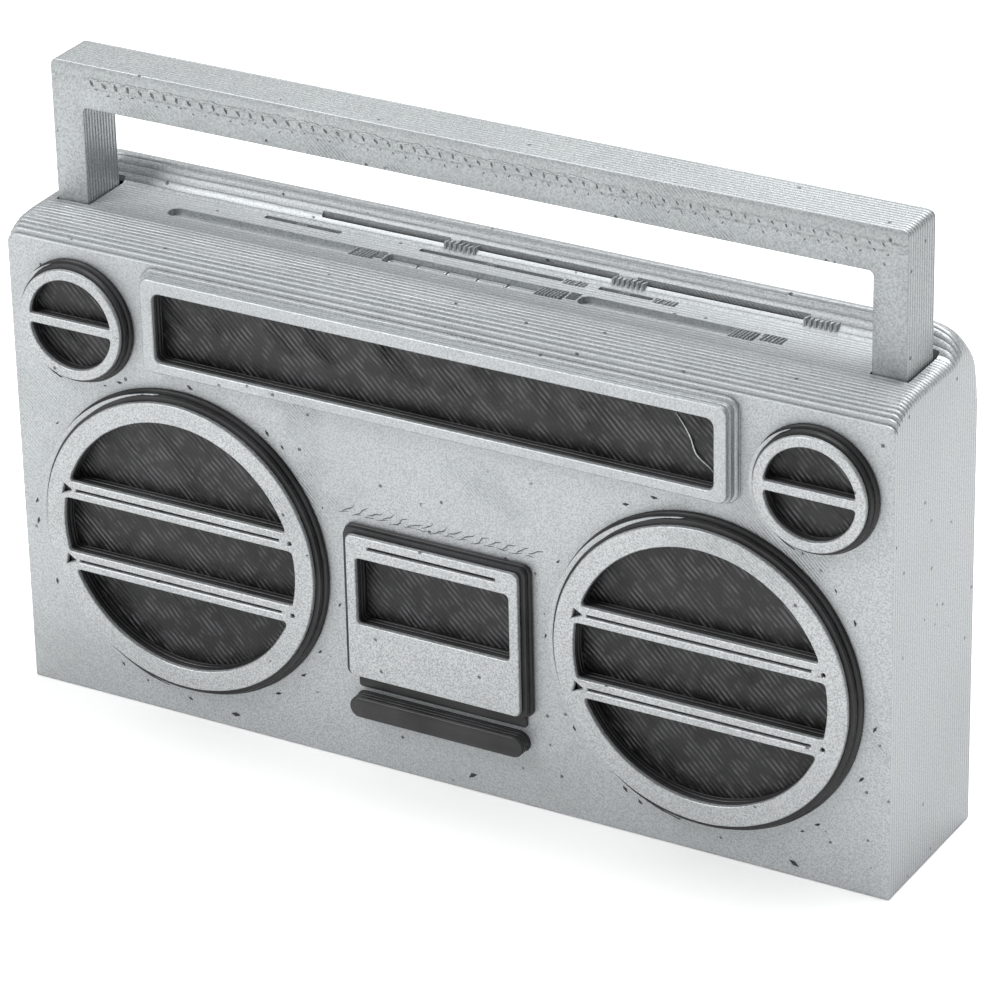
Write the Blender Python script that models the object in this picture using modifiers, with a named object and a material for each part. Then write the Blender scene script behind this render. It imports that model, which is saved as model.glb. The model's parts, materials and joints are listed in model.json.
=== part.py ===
"""A portable stereo radio cassette player: a wide flat cabinet with two woofers, two tweeters, a tuner
frame, a bottom-hinged cassette door, an eject bar, sunken top keys and sliders, a carrying handle that
slides down into the cabinet, and the mechanism and electronics inside. Metres, +Z up, +X to the right
of a person facing the front, which looks along -Y. The origin is the centre of the footprint."""

import math

import bmesh
import bpy
from mathutils import Matrix

MM = 0.001
GAP = 0.4                      # clearance between neighbouring pieces

# Driving dimensions, in millimetres
WIDTH = 600.0
DEPTH = 109.5                  # flat front to flat back
PROUD = 10.0                   # how far rings, tuner frame, door and eject bar stand forward
WALL = 3.0
TOP_FLAT = 317.0               # the level top that the keys sit in
TOP_RAIL = 332.0               # the raised rear rail
FRONT_EDGE = 302.0             # where the front starts to curve back
BACK_EDGE = 281.0              # where the rounded rear top meets the back
HALF = WIDTH / 2
FRONT = PROUD - (DEPTH + PROUD) / 2
BACK = FRONT + DEPTH
INSIDE = FRONT + WALL          # inner side of the front wall
FLOOR = FRONT + 6.5            # the dark floors behind the raised frames

WOOFER_X, WOOFER_Z = 180.0, 122.4
WOOFER_BASE_R, WOOFER_RING_R, WOOFER_OPEN_R = 103.5, 97.0, 83.5
WOOFER_HOLE_R = 88.0           # through the cabinet's front wall
BAR_DROP, BAR_OFFSET, BAR_HEIGHT = 2.0, 24.6, 12.3
TWEETER_X, TWEETER_Z = 251.0, 258.0
TWEETER_BASE_R, TWEETER_RING_R, TWEETER_OPEN_R = 41.0, 36.3, 29.4
TWEETER_HOLE_R = 32.0
NECK = 6.5                     # the dark bases stand this far forward, and the silver fronts lie on them
TWEETER_BAR = 6.3

TUNER_BASE = (-203.0, 203.0, 238.5, 302.0)
TUNER_FACE = (-198.0, 198.0, 240.0, 300.5)
TUNER_OPEN = (-190.0, 190.0, 246.5, 292.0)

DOOR_BASE = (-65.5, 65.5, 62.0, 164.5)
DOOR_RIM = (-62.5, 62.5, 63.6, 162.6)
DOOR_FACE = (-59.5, 59.5, 64.8, 161.0)
DOOR_WINDOW = (-52.8, 52.8, 101.5, 146.0)
DOOR_SLIT = (-44.0, 44.0, 153.2, 155.0)
DOOR_AXIS_Y, DOOR_AXIS_Z = FRONT - 8.8, 65.9
DOOR_WAY = (-57.5, 57.5, 70.0, 152.5)
TAPE_WIDTH, TAPE_HEIGHT, TAPE_DEPTH = 102.0, 64.5, 12.5
TAPE_FOOT = 78.0
SPINDLE_PITCH = 42.5
EJECT = (-60.5, 60.5, 36.0, 50.0)

HANDLE_OUT, HANDLE_LEG = 288.4, 22.7
HANDLE_FRONT, HANDLE_BACK = FRONT + 39.3, FRONT + 73.7
HANDLE_TOP, HANDLE_UNDER, HANDLE_FOOT = 409.4, 380.0, 236.0
HANDLE_WALL = 2.5
SLOT_BACK = FRONT + 79.8

KEY_FRONT, KEY_BACK = FRONT + 47.0, FRONT + 59.0
KEY_TOP, KEY_FOOT = 313.6, 300.0
KEY_TRENCH = (-63.0, 60.0)
SLIDER_TRENCHES = {"volume": (-216.0, -69.0), "tuning": (69.0, 186.0)}
TRENCH_FLOOR = 313.0           # of the channels that the two wide sliders run in
TRENCH_Y = (KEY_FRONT + KEY_BACK) / 2
KEY_NAMES = ("record", "play", "rewind", "forward", "stop", "pause")
SLIT_Y, SLIT_WIDTH = FRONT + 72.0, 4.0
SLITS = {"tone": (-159.0, -105.0), "balance": (-50.0, 48.0), "band": (72.0, 108.0)}
VENT_Y = FRONT + 81.0
VENTS = ((-123.5, -33.5), (-27.5, 80.5), (92.5, 206.5))

CHASSIS_Y = FRONT + 27.0       # front face of the tape deck's plate
SPINDLE_Z = TAPE_FOOT + 30.0
CAPSTAN_X, CAPSTAN_Z = 26.0, TAPE_FOOT + 60.5
MOTOR_X, MOTOR_Z = -38.0, 148.0
PULLEY_R, FLYWHEEL_R = 2.4, 15.5     # at the belt
PINCH_X, PINCH_Z = CAPSTAN_X + 0.5, CAPSTAN_Z + 10.0
ARM_X, ARM_Z = 54.0, CAPSTAN_Z + 13.0
HEAD_Z = TAPE_FOOT + TAPE_HEIGHT + 3.5

VOLUME_X, TUNING_X = -78.0, 177.0    # the wide sliders at rest, at the right ends of their channels
THUMB_WIDTH, STEM_WIDTH, STEM_DEPTH = 16.0, 6.0, 2.4
NARROW_THUMB = 8.0
SLIDER_TOP = 316.0
POINTER_X = 151.0

BATTERY_R = 16.5               # D cells, three to a row
BAY = (-96.0, 96.0, 10.0, 84.0)
BAY_FRONT = BACK - 40.0
BAY_LIP = 3.0                  # the bay's mouth is this much inside its outline
BOARD_Y = BACK - 22.0
INLET = (-247.0, -221.0, 16.0, 32.0)
PIN_PITCH = 9.0
SCREWS = ((-290.0, 12.0), (290.0, 12.0), (-290.0, 268.0), (290.0, 268.0))
COVER = (-HALF + WALL + GAP, HALF - WALL - GAP, WALL + GAP, BACK_EDGE - WALL - GAP)

COLOURS = {
    "silver": ((0.56, 0.58, 0.59), 0.42, 0.55),
    "black": ((0.032, 0.032, 0.035), 0.45, 0.0),
    "smoke": ((0.030, 0.030, 0.033), 0.30, 0.0),
    "steel": ((0.55, 0.55, 0.56), 0.30, 1.0),
    "brass": ((0.62, 0.47, 0.20), 0.32, 1.0),
    "rubber": ((0.025, 0.025, 0.025), 0.85, 0.0),
    "paper": ((0.05, 0.05, 0.052), 0.90, 0.0),
    "board": ((0.05, 0.16, 0.07), 0.55, 0.0),
    "ferrite": ((0.10, 0.10, 0.105), 0.60, 0.0),
    "cell": ((0.20, 0.22, 0.25), 0.40, 0.3),
}

for old in list(bpy.data.objects):
    bpy.data.objects.remove(old, do_unlink=True)
PARTS = bpy.data.collections.new("cassette_player")
CUTTERS = bpy.data.collections.new("cutters")
for made in (PARTS, CUTTERS):
    bpy.context.scene.collection.children.link(made)
CUTTERS.hide_render = True


def material(name):
    """The Principled material of this finish, made once."""
    found = bpy.data.materials.get(name)
    if found:
        return found
    made = bpy.data.materials.new(name)
    made.use_nodes = True
    colour, roughness, metallic = COLOURS[name]
    shader = made.node_tree.nodes["Principled BSDF"]
    shader.inputs["Base Color"].default_value = (*colour, 1.0)
    shader.inputs["Roughness"].default_value = roughness
    shader.inputs["Metallic"].default_value = metallic
    return made


def place(mesh, name, finish, collection=PARTS):
    """One named object with its finish, shaded smooth where it is round."""
    obj = bpy.data.objects.new(name, mesh)
    collection.objects.link(obj)
    mesh.materials.clear()
    mesh.materials.append(material(finish))
    mesh.shade_smooth()
    mesh.set_sharp_from_angle(angle=math.radians(35))
    return obj


# Outlines, as lists of (across, up) points

def rect(left, right, low, high, radius=0.0, steps=4):
    """A rectangle, anticlockwise, with round corners where radius isn't 0."""
    if not radius:
        return [(left, low), (right, low), (right, high), (left, high)]
    centres = ((right - radius, low + radius, -90), (right - radius, high - radius, 0),
               (left + radius, high - radius, 90), (left + radius, low + radius, 180))
    points = []
    for across, up, start in centres:
        for step in range(steps + 1):
            angle = math.radians(start + 90 * step / steps)
            points.append((across + radius * math.cos(angle), up + radius * math.sin(angle)))
    return points


def circle(across, up, radius, steps=40):
    return [(across + radius * math.cos(2 * math.pi * i / steps),
             up + radius * math.sin(2 * math.pi * i / steps)) for i in range(steps)]


def chord_band(across, up, radius, low, high, steps=18):
    """The part of a disc between two levels, measured from its centre."""
    low, high = max(low, -radius), min(high, radius)
    start, end = math.asin(low / radius), math.asin(high / radius)
    right = [start + (end - start) * i / steps for i in range(steps + 1)]
    angles = right + [math.pi - angle for angle in reversed(right)]
    points = [(across + radius * math.cos(a), up + radius * math.sin(a)) for a in angles]
    distinct = [points[0]]
    for point in points[1:]:
        if math.dist(point, distinct[-1]) > 0.01 and math.dist(point, points[0]) > 0.01:
            distinct.append(point)
    return distinct


def solid(name, loops, axis, low, high, finish, collection=PARTS):
    """Outlines, holes among them, extruded along an axis from low to high."""
    curve = bpy.data.curves.new(name, "CURVE")
    curve.dimensions = "2D"
    curve.fill_mode = "BOTH"
    curve.extrude = (high - low) / 2 * MM
    for loop in loops:
        spline = curve.splines.new("POLY")
        spline.points.add(len(loop) - 1)
        for point, (across, up) in zip(spline.points, loop):
            point.co = (across * MM, up * MM, 0, 1)
        spline.use_cyclic_u = True
    guide = bpy.data.objects.new(name, curve)
    turn = {"X": Matrix(((0, 0, 1), (1, 0, 0), (0, 1, 0))).to_4x4(),
            "Y": Matrix(((1, 0, 0), (0, 0, -1), (0, 1, 0))).to_4x4(),
            "Z": Matrix.Identity(4)}[axis]
    shift = Matrix.Translation([(low + high) / 2 * MM * (axis == letter) for letter in "XYZ"])
    collection.objects.link(guide)
    bpy.context.view_layer.update()
    mesh = bpy.data.meshes.new_from_object(guide.evaluated_get(bpy.context.evaluated_depsgraph_get()))
    mesh.transform(shift @ turn)
    bpy.data.objects.remove(guide, do_unlink=True)
    shape = bmesh.new()
    shape.from_mesh(mesh)
    bmesh.ops.remove_doubles(shape, verts=shape.verts, dist=0.01 * MM)
    bmesh.ops.recalc_face_normals(shape, faces=shape.faces)
    shape.to_mesh(mesh)
    shape.free()
    mesh.name = name
    return place(mesh, name, finish, collection)


def block(name, x, y, z, finish, collection=PARTS):
    """A box from its three ranges."""
    shape = bmesh.new()
    bmesh.ops.create_cube(shape, size=1.0)
    size = [(b - a) * MM for a, b in (x, y, z)]
    centre = [(a + b) / 2 * MM for a, b in (x, y, z)]
    bmesh.ops.transform(shape, verts=shape.verts,
                        matrix=Matrix.Translation(centre) @ Matrix.Diagonal((*size, 1.0)))
    mesh = bpy.data.meshes.new(name)
    shape.to_mesh(mesh)
    shape.free()
    return place(mesh, name, finish, collection)


def turned(name, profile, centre, finish, steps=32, facing="Y", collection=PARTS):
    """A closed (radius, depth) profile turned about an axis. It runs down its outer side first."""
    mesh = bpy.data.meshes.new(name)
    closed = profile[0][0] > 0 or profile[-1][0] > 0
    edges = [(i, i + 1) for i in range(len(profile) - 1)]
    if closed:
        edges.append((len(profile) - 1, 0))
    mesh.from_pydata([(r * MM, 0, -d * MM) for r, d in profile], edges, [])
    obj = bpy.data.objects.new(name, mesh)
    collection.objects.link(obj)
    mesh.materials.append(material(finish))
    obj.location = [value * MM for value in centre]
    if facing == "Y":
        obj.rotation_euler = (math.radians(90), 0, 0)
    if facing == "X":
        obj.rotation_euler = (0, math.radians(-90), 0)
    screw = obj.modifiers.new("turn", "SCREW")
    screw.steps = screw.render_steps = steps
    screw.use_merge_vertices = True
    screw.merge_threshold = 0.00005
    screw.use_smooth_shade = True
    return obj


def rod(name, centre, radius, length, axis, finish, steps=16, collection=PARTS):
    """A plain cylinder about its centre."""
    shape = bmesh.new()
    bmesh.ops.create_cone(shape, cap_ends=True, segments=steps, radius1=radius * MM,
                          radius2=radius * MM, depth=length * MM)
    turn = {"X": Matrix.Rotation(math.pi / 2, 4, "Y"), "Y": Matrix.Rotation(math.pi / 2, 4, "X"),
            "Z": Matrix.Identity(4)}[axis]
    bmesh.ops.transform(shape, verts=shape.verts,
                        matrix=Matrix.Translation([c * MM for c in centre]) @ turn)
    mesh = bpy.data.meshes.new(name)
    shape.to_mesh(mesh)
    shape.free()
    return place(mesh, name, finish, collection)


def combine(target, others, operation):
    """Joins the others to the target, or cuts them from it."""
    for other in others:
        for collection in other.users_collection:
            collection.objects.unlink(other)
        CUTTERS.objects.link(other)
        other.hide_render = True
        other.display_type = "WIRE"
        boolean = target.modifiers.new(other.name, "BOOLEAN")
        boolean.operation = operation
        boolean.solver = "EXACT"
        boolean.object = other
    return target


def cut(target, *others):
    return combine(target, others, "DIFFERENCE")


def join(target, *others):
    return combine(target, others, "UNION")


def taper(obj, back_loop, front_loop, y):
    """Moves the outline's points at depth y from the back outline to the front one."""
    for vertex in obj.data.vertices:
        if abs(vertex.co.y - y * MM) > 0.01 * MM:
            continue
        for (a, b), (c, d) in zip(back_loop, front_loop):
            if abs(vertex.co.x - a * MM) < 0.02 * MM and abs(vertex.co.z - b * MM) < 0.02 * MM:
                vertex.co.x, vertex.co.z = c * MM, d * MM
                break
    return obj


def hang(name, x, y, z, *children):
    """An empty on a joint's axis that carries the moving pieces, which stay where they are."""
    pivot = bpy.data.objects.new(name, None)
    PARTS.objects.link(pivot)
    pivot.location = (x * MM, y * MM, z * MM)
    pivot.empty_display_size = 0.01
    bpy.context.view_layer.update()
    for child in children:
        child.parent = pivot
        child.matrix_parent_inverse = pivot.matrix_world.inverted()
    return pivot


# Cabinet

def body_profile(inset, open_back):
    """The cabinet's side outline in (y, z): level front edge, curved front top, level top, raised
    rear rail and a rounded rear top."""
    front, low = FRONT + inset, inset
    back = BACK + 20.0 if open_back else BACK
    edge = FRONT_EDGE - inset * 0.4
    points = [(front, low), (front, edge)]
    sweep, rise = 33.0, TOP_FLAT - inset - edge
    for i in range(1, 8):
        angle = math.radians(90 * i / 7)
        points.append((front + sweep * (1 - math.cos(angle)), edge + rise * math.sin(angle)))
    rail_foot, rail_top = FRONT + 75.0, FRONT + 90.0
    for i in range(5):
        share = i / 4
        lift = share * share * (3 - 2 * share)
        points.append((rail_foot + (rail_top - rail_foot) * share,
                       TOP_FLAT - inset + (TOP_RAIL - TOP_FLAT) * lift))
    fall = TOP_RAIL - BACK_EDGE
    for i in range(1, 8):
        angle = math.radians(90 * i / 7)
        points.append((rail_top + (BACK - inset - rail_top) * math.sin(angle),
                       TOP_RAIL - inset - fall + fall * math.cos(angle)))
    if open_back:
        points.append((back, BACK_EDGE - inset))
    points.append((back, low))
    return points


def front_openings():
    """Every way through the front wall."""
    loops = []
    for side in (-1, 1):
        loops.append(circle(side * WOOFER_X, WOOFER_Z, WOOFER_HOLE_R))
        loops.append(circle(side * TWEETER_X, TWEETER_Z, TWEETER_HOLE_R, 28))
    loops.append(rect(-194.0, 194.0, 243.5, 295.0, 4.0, 3))
    loops.append(rect(*DOOR_WAY, 2.0, 2))
    left, right, low, high = EJECT
    loops.append(rect(left - GAP, right + GAP, low - GAP, high + GAP, 7.0, 4))
    return loops


def top_openings():
    """Every way through the top wall, seen from above."""
    loops = []
    for side in (-1, 1):
        outer, inner = side * (HANDLE_OUT + 1.0), side * (HANDLE_OUT - HANDLE_LEG - 1.0)
        loops.append(rect(min(outer, inner), max(outer, inner), HANDLE_FRONT - 1.0, SLOT_BACK))
    loops.append(rect(*KEY_TRENCH, KEY_FRONT, KEY_BACK, 1.0, 2))
    for left, right in list(SLITS.values()):
        loops.append(rect(left, right, SLIT_Y - SLIT_WIDTH / 2, SLIT_Y + SLIT_WIDTH / 2, 1.5, 2))
    for left, right in VENTS:
        loops.append(rect(left, right, VENT_Y - 1.6, VENT_Y + 1.6))
    return loops


def add_channels(cabinet):
    """The two sunken channels that the wide sliders run in, each with a slot in its floor."""
    slot_half = STEM_DEPTH / 2 + GAP
    for name, (left, right) in SLIDER_TRENCHES.items():
        join(cabinet, block(f"{name}_channel", (left - 3, right + 3), (KEY_FRONT - 3, KEY_BACK + 3),
                            (TRENCH_FLOOR - 2.5, TOP_FLAT - WALL + 0.5), "silver", CUTTERS))
        trench = rect(left, right, KEY_FRONT, KEY_BACK, 1.5, 2)
        slot = rect(left + 2, right - 2, TRENCH_Y - slot_half, TRENCH_Y + slot_half)
        cut(cabinet, solid(f"{name}_trench", [trench], "Z", TRENCH_FLOOR, TOP_FLAT + 5, "silver", CUTTERS),
            solid(f"{name}_slot", [slot], "Z", TRENCH_FLOOR - 9, TRENCH_FLOOR + 1, "silver", CUTTERS))


def make_cabinet():
    cabinet = solid("front_cabinet", [body_profile(0, False)], "X", -HALF, HALF, "silver")
    hollow = solid("cabinet_hollow", [body_profile(WALL, True)], "X", -HALF + WALL, HALF - WALL,
                   "silver", CUTTERS)
    front = solid("front_ways", front_openings(), "Y", FRONT - 5, INSIDE + 5, "silver", CUTTERS)
    top = solid("top_ways", top_openings(), "Z", TOP_FLAT - 13, TOP_RAIL + 5, "silver", CUTTERS)
    cut(cabinet, hollow, front, top)
    add_channels(cabinet)
    for number, (x, z) in enumerate(SCREWS):
        inner = math.copysign(HALF - WALL + 0.5, x)
        outer = math.copysign(HALF - WALL - 13.0, x)
        boss = block(f"boss_{number}", (min(inner, outer), max(inner, outer)),
                     (BACK - 26, BACK - WALL - GAP), (z - 6, z + 6), "silver", CUTTERS)
        join(cabinet, boss)
    pilots = [circle(x, z, 1.7, 10) for x, z in SCREWS]
    cut(cabinet, solid("pilot_holes", pilots, "Y", BACK - 20, BACK, "silver", CUTTERS))
    return cabinet


def make_rear():
    vents = [rect(x - 1.5, x + 1.5, 190.0, 240.0) for x in (-120, -108, -96, 96, 108, 120)]
    holes = [rect(*INLET, 2.0, 2)] + vents + [circle(x, z, 1.8, 12) for x, z in SCREWS]
    cover = solid("rear_cover", [rect(*COVER, 3.0, 3)] + holes, "Y", BACK - WALL, BACK, "silver")
    left, right, low, high = BAY
    tray = solid("battery_tray", [rect(left, right, low, high)], "Y", BAY_FRONT, BACK - 1.0, "silver",
                 CUTTERS)
    well = block("battery_well", (left + 2, right - 2), (BAY_FRONT + 2, BACK - WALL + 0.1),
                 (low + 2, high - 2), "silver", CUTTERS)
    mouth = block("battery_mouth", (left + BAY_LIP, right - BAY_LIP), (BACK - WALL - 1, BACK + 9),
                  (low + BAY_LIP, high - BAY_LIP), "silver", CUTTERS)
    join(cover, tray)
    cut(cover, well, mouth)
    seats = [circle(x, z, 4.0, 12) for x, z in SCREWS]
    cut(cover, solid("screw_seats", seats, "Y", BACK - 1.8, BACK + 1, "silver", CUTTERS))
    shape = [(0, -16.0), (1.4, -16.0), (1.4, -1.5), (3.6, -1.5), (3.6, -0.1), (0, -0.1)]
    for number, (x, z) in enumerate(SCREWS, 1):
        turned(f"rear_screw_{number}", shape, (x, BACK, z), "steel", 12)


# Loudspeakers

def make_woofer(side, name):
    x = side * WOOFER_X
    steps = 44
    inner = WOOFER_HOLE_R + 2.0
    drum = [(WOOFER_RING_R + 2.5, -NECK), (WOOFER_BASE_R, -0.1), (inner, -0.1), (inner, -NECK)]
    turned(f"woofer_drum_{name}", drum, (x, FRONT - GAP + 0.1, WOOFER_Z), "black", steps)
    ring = [circle(x, WOOFER_Z, WOOFER_RING_R, steps)]
    edge = BAR_OFFSET - BAR_HEIGHT / 2
    outer_edge = BAR_OFFSET + BAR_HEIGHT / 2
    for low, high in ((outer_edge - BAR_DROP, WOOFER_OPEN_R), (-edge - BAR_DROP, edge - BAR_DROP),
                      (-WOOFER_OPEN_R, -outer_edge - BAR_DROP)):
        ring.append(chord_band(x, WOOFER_Z, WOOFER_OPEN_R, low, high, 14))
    solid(f"woofer_ring_{name}", ring, "Y", FRONT - PROUD, FRONT - NECK - GAP - 0.1, "silver")
    grille = circle(x, WOOFER_Z, WOOFER_HOLE_R - 0.5, 32)
    solid(f"woofer_grille_{name}", [grille], "Y", FLOOR, FLOOR + 1.6, "smoke")
    turned(f"woofer_basket_{name}",
           [(94.0, 0), (94.0, 3.0), (84.0, 3.0), (38.0, 38.0), (38.0, 60.0), (0, 60.0), (0, 30.0),
            (8.0, 30.0),
            (8.0, 42.0), (15.5, 42.0), (15.5, 38.0), (36.0, 38.0), (80.0, 3.0), (80.0, 0)],
           (x, FLOOR + 2.2, WOOFER_Z), "steel", 32)
    turned(f"woofer_cone_{name}",
           [(0, 17.0), (13.0, 20.0), (15.0, 26.0), (74.0, 3.5), (78.5, 1.0), (78.5, 2.2), (74.0, 5.0),
            (15.0, 28.0), (14.0, 34.0), (12.5, 34.0), (12.0, 22.0), (0, 19.0)],
           (x, FLOOR + 2.2, WOOFER_Z), "paper", 32)


def make_tweeter(side, name):
    x = side * TWEETER_X
    inner = TWEETER_HOLE_R + 1.0
    drum = [(TWEETER_RING_R + 1.5, -NECK), (TWEETER_BASE_R, -0.1), (inner, -0.1), (inner, -NECK)]
    turned(f"tweeter_drum_{name}", drum, (x, FRONT - GAP + 0.1, TWEETER_Z), "black", 32)
    ring = [circle(x, TWEETER_Z, TWEETER_RING_R, 32)]
    ring.append(chord_band(x, TWEETER_Z, TWEETER_OPEN_R, TWEETER_BAR / 2, TWEETER_OPEN_R, 12))
    ring.append(chord_band(x, TWEETER_Z, TWEETER_OPEN_R, -TWEETER_OPEN_R, -TWEETER_BAR / 2, 12))
    solid(f"tweeter_ring_{name}", ring, "Y", FRONT - PROUD, FRONT - NECK - GAP - 0.1, "silver")
    grille = circle(x, TWEETER_Z, TWEETER_HOLE_R - GAP, 24)
    solid(f"tweeter_grille_{name}", [grille], "Y", FLOOR - 3, FLOOR - 1.4, "smoke")
    turned(f"tweeter_driver_{name}",
           [(0, 1.0), (12.0, 4.0), (34.5, 4.0), (34.5, 7.5), (18.0, 7.5), (18.0, 20.0), (0, 20.0)],
           (x, FLOOR - 1.0, TWEETER_Z), "ferrite", 24)


# Tuner

def make_tuner():
    base, face = rect(*TUNER_BASE, 5.0, 3), rect(*TUNER_FACE, 4.0, 3)
    frame = solid("tuner_frame", [base, rect(*TUNER_OPEN, 4.0, 3)], "Y", FRONT - PROUD, FRONT - GAP, "silver")
    taper(frame, base, face, FRONT - PROUD)
    solid("tuner_window", [rect(-193.6, 193.6, 243.9, 294.6, 4.0, 3)], "Y", FLOOR, FLOOR + 1.6, "smoke")
    solid("dial_plate", [rect(-193.0, 193.0, 244.5, 294.0)], "Y", FLOOR + 6.4, FLOOR + 7.6, "black")
    pointer = block("dial_pointer", (POINTER_X - 0.8, POINTER_X + 0.8), (FLOOR + 3.4, FLOOR + 4.4),
                    (247.0, 299.0), "silver")
    join(pointer, block("pointer_arm", (POINTER_X - 4, POINTER_X + 4), (FLOOR + 3.4, FLOOR + 14.0),
                        (296.0, 299.5), "silver", CUTTERS))
    hang("dial_pointer_axis", POINTER_X, FLOOR + 4.0, 289.0, pointer)


# Cassette door

def make_door():
    base, face = rect(*DOOR_BASE, 4.0, 3), rect(*DOOR_RIM, 4.0, 3)
    surround = solid("door_surround", [base, rect(*DOOR_WAY, 2.0, 2)], "Y", FRONT - NECK, FRONT - GAP,
                     "black")
    taper(surround, base, face, FRONT - NECK)
    door = solid("door_frame", [rect(*DOOR_FACE, 3.0, 3), rect(*DOOR_WINDOW, 3.0, 3)], "Y",
                 FRONT - PROUD, FRONT - NECK - GAP, "silver")
    left, right, low, high = DOOR_WINDOW
    throat_wall = rect(left - 2.5, right + 2.5, low - 2.5, high + 2.5, 3.0, 3)
    throat = solid("door_throat", [throat_wall, rect(*DOOR_WINDOW, 3.0, 3)], "Y", FRONT - 8.0, FLOOR + 1.6,
                   "silver", CUTTERS)
    slit = solid("door_slit", [rect(*DOOR_SLIT, 0.6, 2)], "Y", FRONT - 20, FRONT - 9.0, "silver", CUTTERS)
    knuckles = [rect(-56.0, -48.0, 70.4, 80.0), rect(48.0, 56.0, 70.4, 80.0)]
    knuckle = solid("door_knuckle", knuckles, "Y", FRONT - 8.0, FRONT + 9.0, "silver", CUTTERS)
    join(door, throat, knuckle)
    cut(door, slit)
    window = solid("door_window", [rect(left + GAP, right - GAP, low + GAP, high - GAP, 2.6, 3)], "Y",
                   FLOOR, FLOOR + 1.5, "smoke")
    side, wall = TAPE_WIDTH / 2, 2.0
    front, back = FRONT + 9.3, FRONT + 9.3 + TAPE_DEPTH
    holder = block("cassette_holder", (-side - wall, side + wall), (front, back + wall),
                   (TAPE_FOOT - wall, TAPE_FOOT + TAPE_HEIGHT), "black")
    bay = block("tape_bay", (-side, side), (front - 5, back), (TAPE_FOOT, TAPE_FOOT + 99), "black", CUTTERS)
    back_way = block("holder_back_way", (-side + 5, side - 5), (front, back + 9),
                     (TAPE_FOOT + 5, TAPE_FOOT + 99),
                     "black", CUTTERS)
    foot_way = block("holder_foot_way", (-side + 12, side - 12), (back - 3, back + 9),
                     (TAPE_FOOT - 9, TAPE_FOOT + 9), "black", CUTTERS)
    cut(holder, bay, back_way, foot_way)
    hang("door_axis", 0, DOOR_AXIS_Y, DOOR_AXIS_Z, door, window, holder)


# Tape deck, behind the cassette

def make_deck():
    holes = [circle(side * SPINDLE_PITCH / 2, SPINDLE_Z, 6.0, 16) for side in (-1, 1)]
    holes += [circle(CAPSTAN_X, CAPSTAN_Z, 2.4, 12)]
    holes += [circle(MOTOR_X, MOTOR_Z, 4.0, 12)]
    plate = [rect(-62.0, 62.0, 66.0, 172.0, 3.0, 2)] + holes
    solid("deck_chassis", plate, "Y", CHASSIS_Y, CHASSIS_Y + 1.6, "steel")
    for side, name in ((-1, "supply"), (1, "take_up")):
        x = side * SPINDLE_PITCH / 2
        shape = [(0, -15.0), (2.2, -15.0), (3.6, -12.0), (3.6, 4.0), (12.0, 4.0), (12.0, 9.0), (0, 9.0)]
        spindle = turned(f"{name}_spindle", shape, (x, CHASSIS_Y, SPINDLE_Z), "black", 20)
        fins = []
        for turn in range(3):
            fin = block(f"{name}_fin_{turn}", (-0.5, 0.5), (CHASSIS_Y - 12, CHASSIS_Y - 3), (0, 4.9),
                        "black", CUTTERS)
            fin.data.transform(Matrix.Translation((x * MM, 0, SPINDLE_Z * MM))
                               @ Matrix.Rotation(turn * 2 * math.pi / 3, 4, "Y"))
            fins.append(fin)
        join(spindle, *fins)
        hang(f"{name}_spindle_axis", x, CHASSIS_Y, SPINDLE_Z, spindle)
    rim = FLYWHEEL_R + 2.0
    shape = [(0, -16.0), (1.2, -16.0), (1.2, 3.0), (rim, 3.0), (rim, 5.4), (FLYWHEEL_R, 5.4),
             (FLYWHEEL_R, 7.6), (rim, 7.6), (rim, 10.0), (0, 10.0)]
    flywheel = turned("capstan_flywheel", shape, (CAPSTAN_X, CHASSIS_Y, CAPSTAN_Z), "brass", 28)
    hang("capstan_axis", CAPSTAN_X, CHASSIS_Y, CAPSTAN_Z, flywheel)
    motor_at = (MOTOR_X, CHASSIS_Y, MOTOR_Z)
    turned("deck_motor", [(15.0, 12.5), (15.0, 30.0), (0, 30.0), (0, 12.5)], motor_at, "steel", 24)
    shape = [(0, 5.0), (3.4, 5.0), (3.4, 5.6), (PULLEY_R, 6.2), (PULLEY_R, 6.8), (3.4, 7.4), (3.4, 12.0),
             (0, 12.0)]
    pulley = turned("motor_pulley", shape, motor_at, "brass", 16)
    hang("motor_axis", MOTOR_X, CHASSIS_Y, MOTOR_Z, pulley)
    make_belt()
    low, high = min(PINCH_Z, ARM_Z) - 5.0, max(PINCH_Z, ARM_Z) + 5.0
    arm = solid("pinch_arm",
                [rect(PINCH_X - 5, ARM_X + 5, low, high, 4.5, 3), circle(PINCH_X, PINCH_Z, 1.0, 10),
                              circle(ARM_X, ARM_Z, 1.6, 10)], "Y", CHASSIS_Y - 2.6, CHASSIS_Y - GAP, "steel")
    roller = turned("pinch_roller", [(6.0, -12.0), (6.0, -3.0), (1.2, -3.0), (1.2, -12.0)],
                    (PINCH_X, CHASSIS_Y, PINCH_Z), "rubber", 20)
    hang("pinch_axis", ARM_X, CHASSIS_Y, ARM_Z, arm, roller)
    head = block("playback_head", (-7.0, 7.0), (CHASSIS_Y - 15, CHASSIS_Y - 2), (HEAD_Z, HEAD_Z + 9), "steel")
    carrier = block("head_plate", (-19.0, 15.0), (CHASSIS_Y - 2.6, CHASSIS_Y - GAP), (HEAD_Z, HEAD_Z + 13),
                    "steel", CUTTERS)
    eraser = block("erase_head", (-18.0, -11.0), (CHASSIS_Y - 14, CHASSIS_Y - 2), (HEAD_Z + 0.5, HEAD_Z + 8),
                   "steel", CUTTERS)
    join(head, carrier, eraser)
    hang("head_axis", 0, CHASSIS_Y, HEAD_Z, head)


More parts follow.
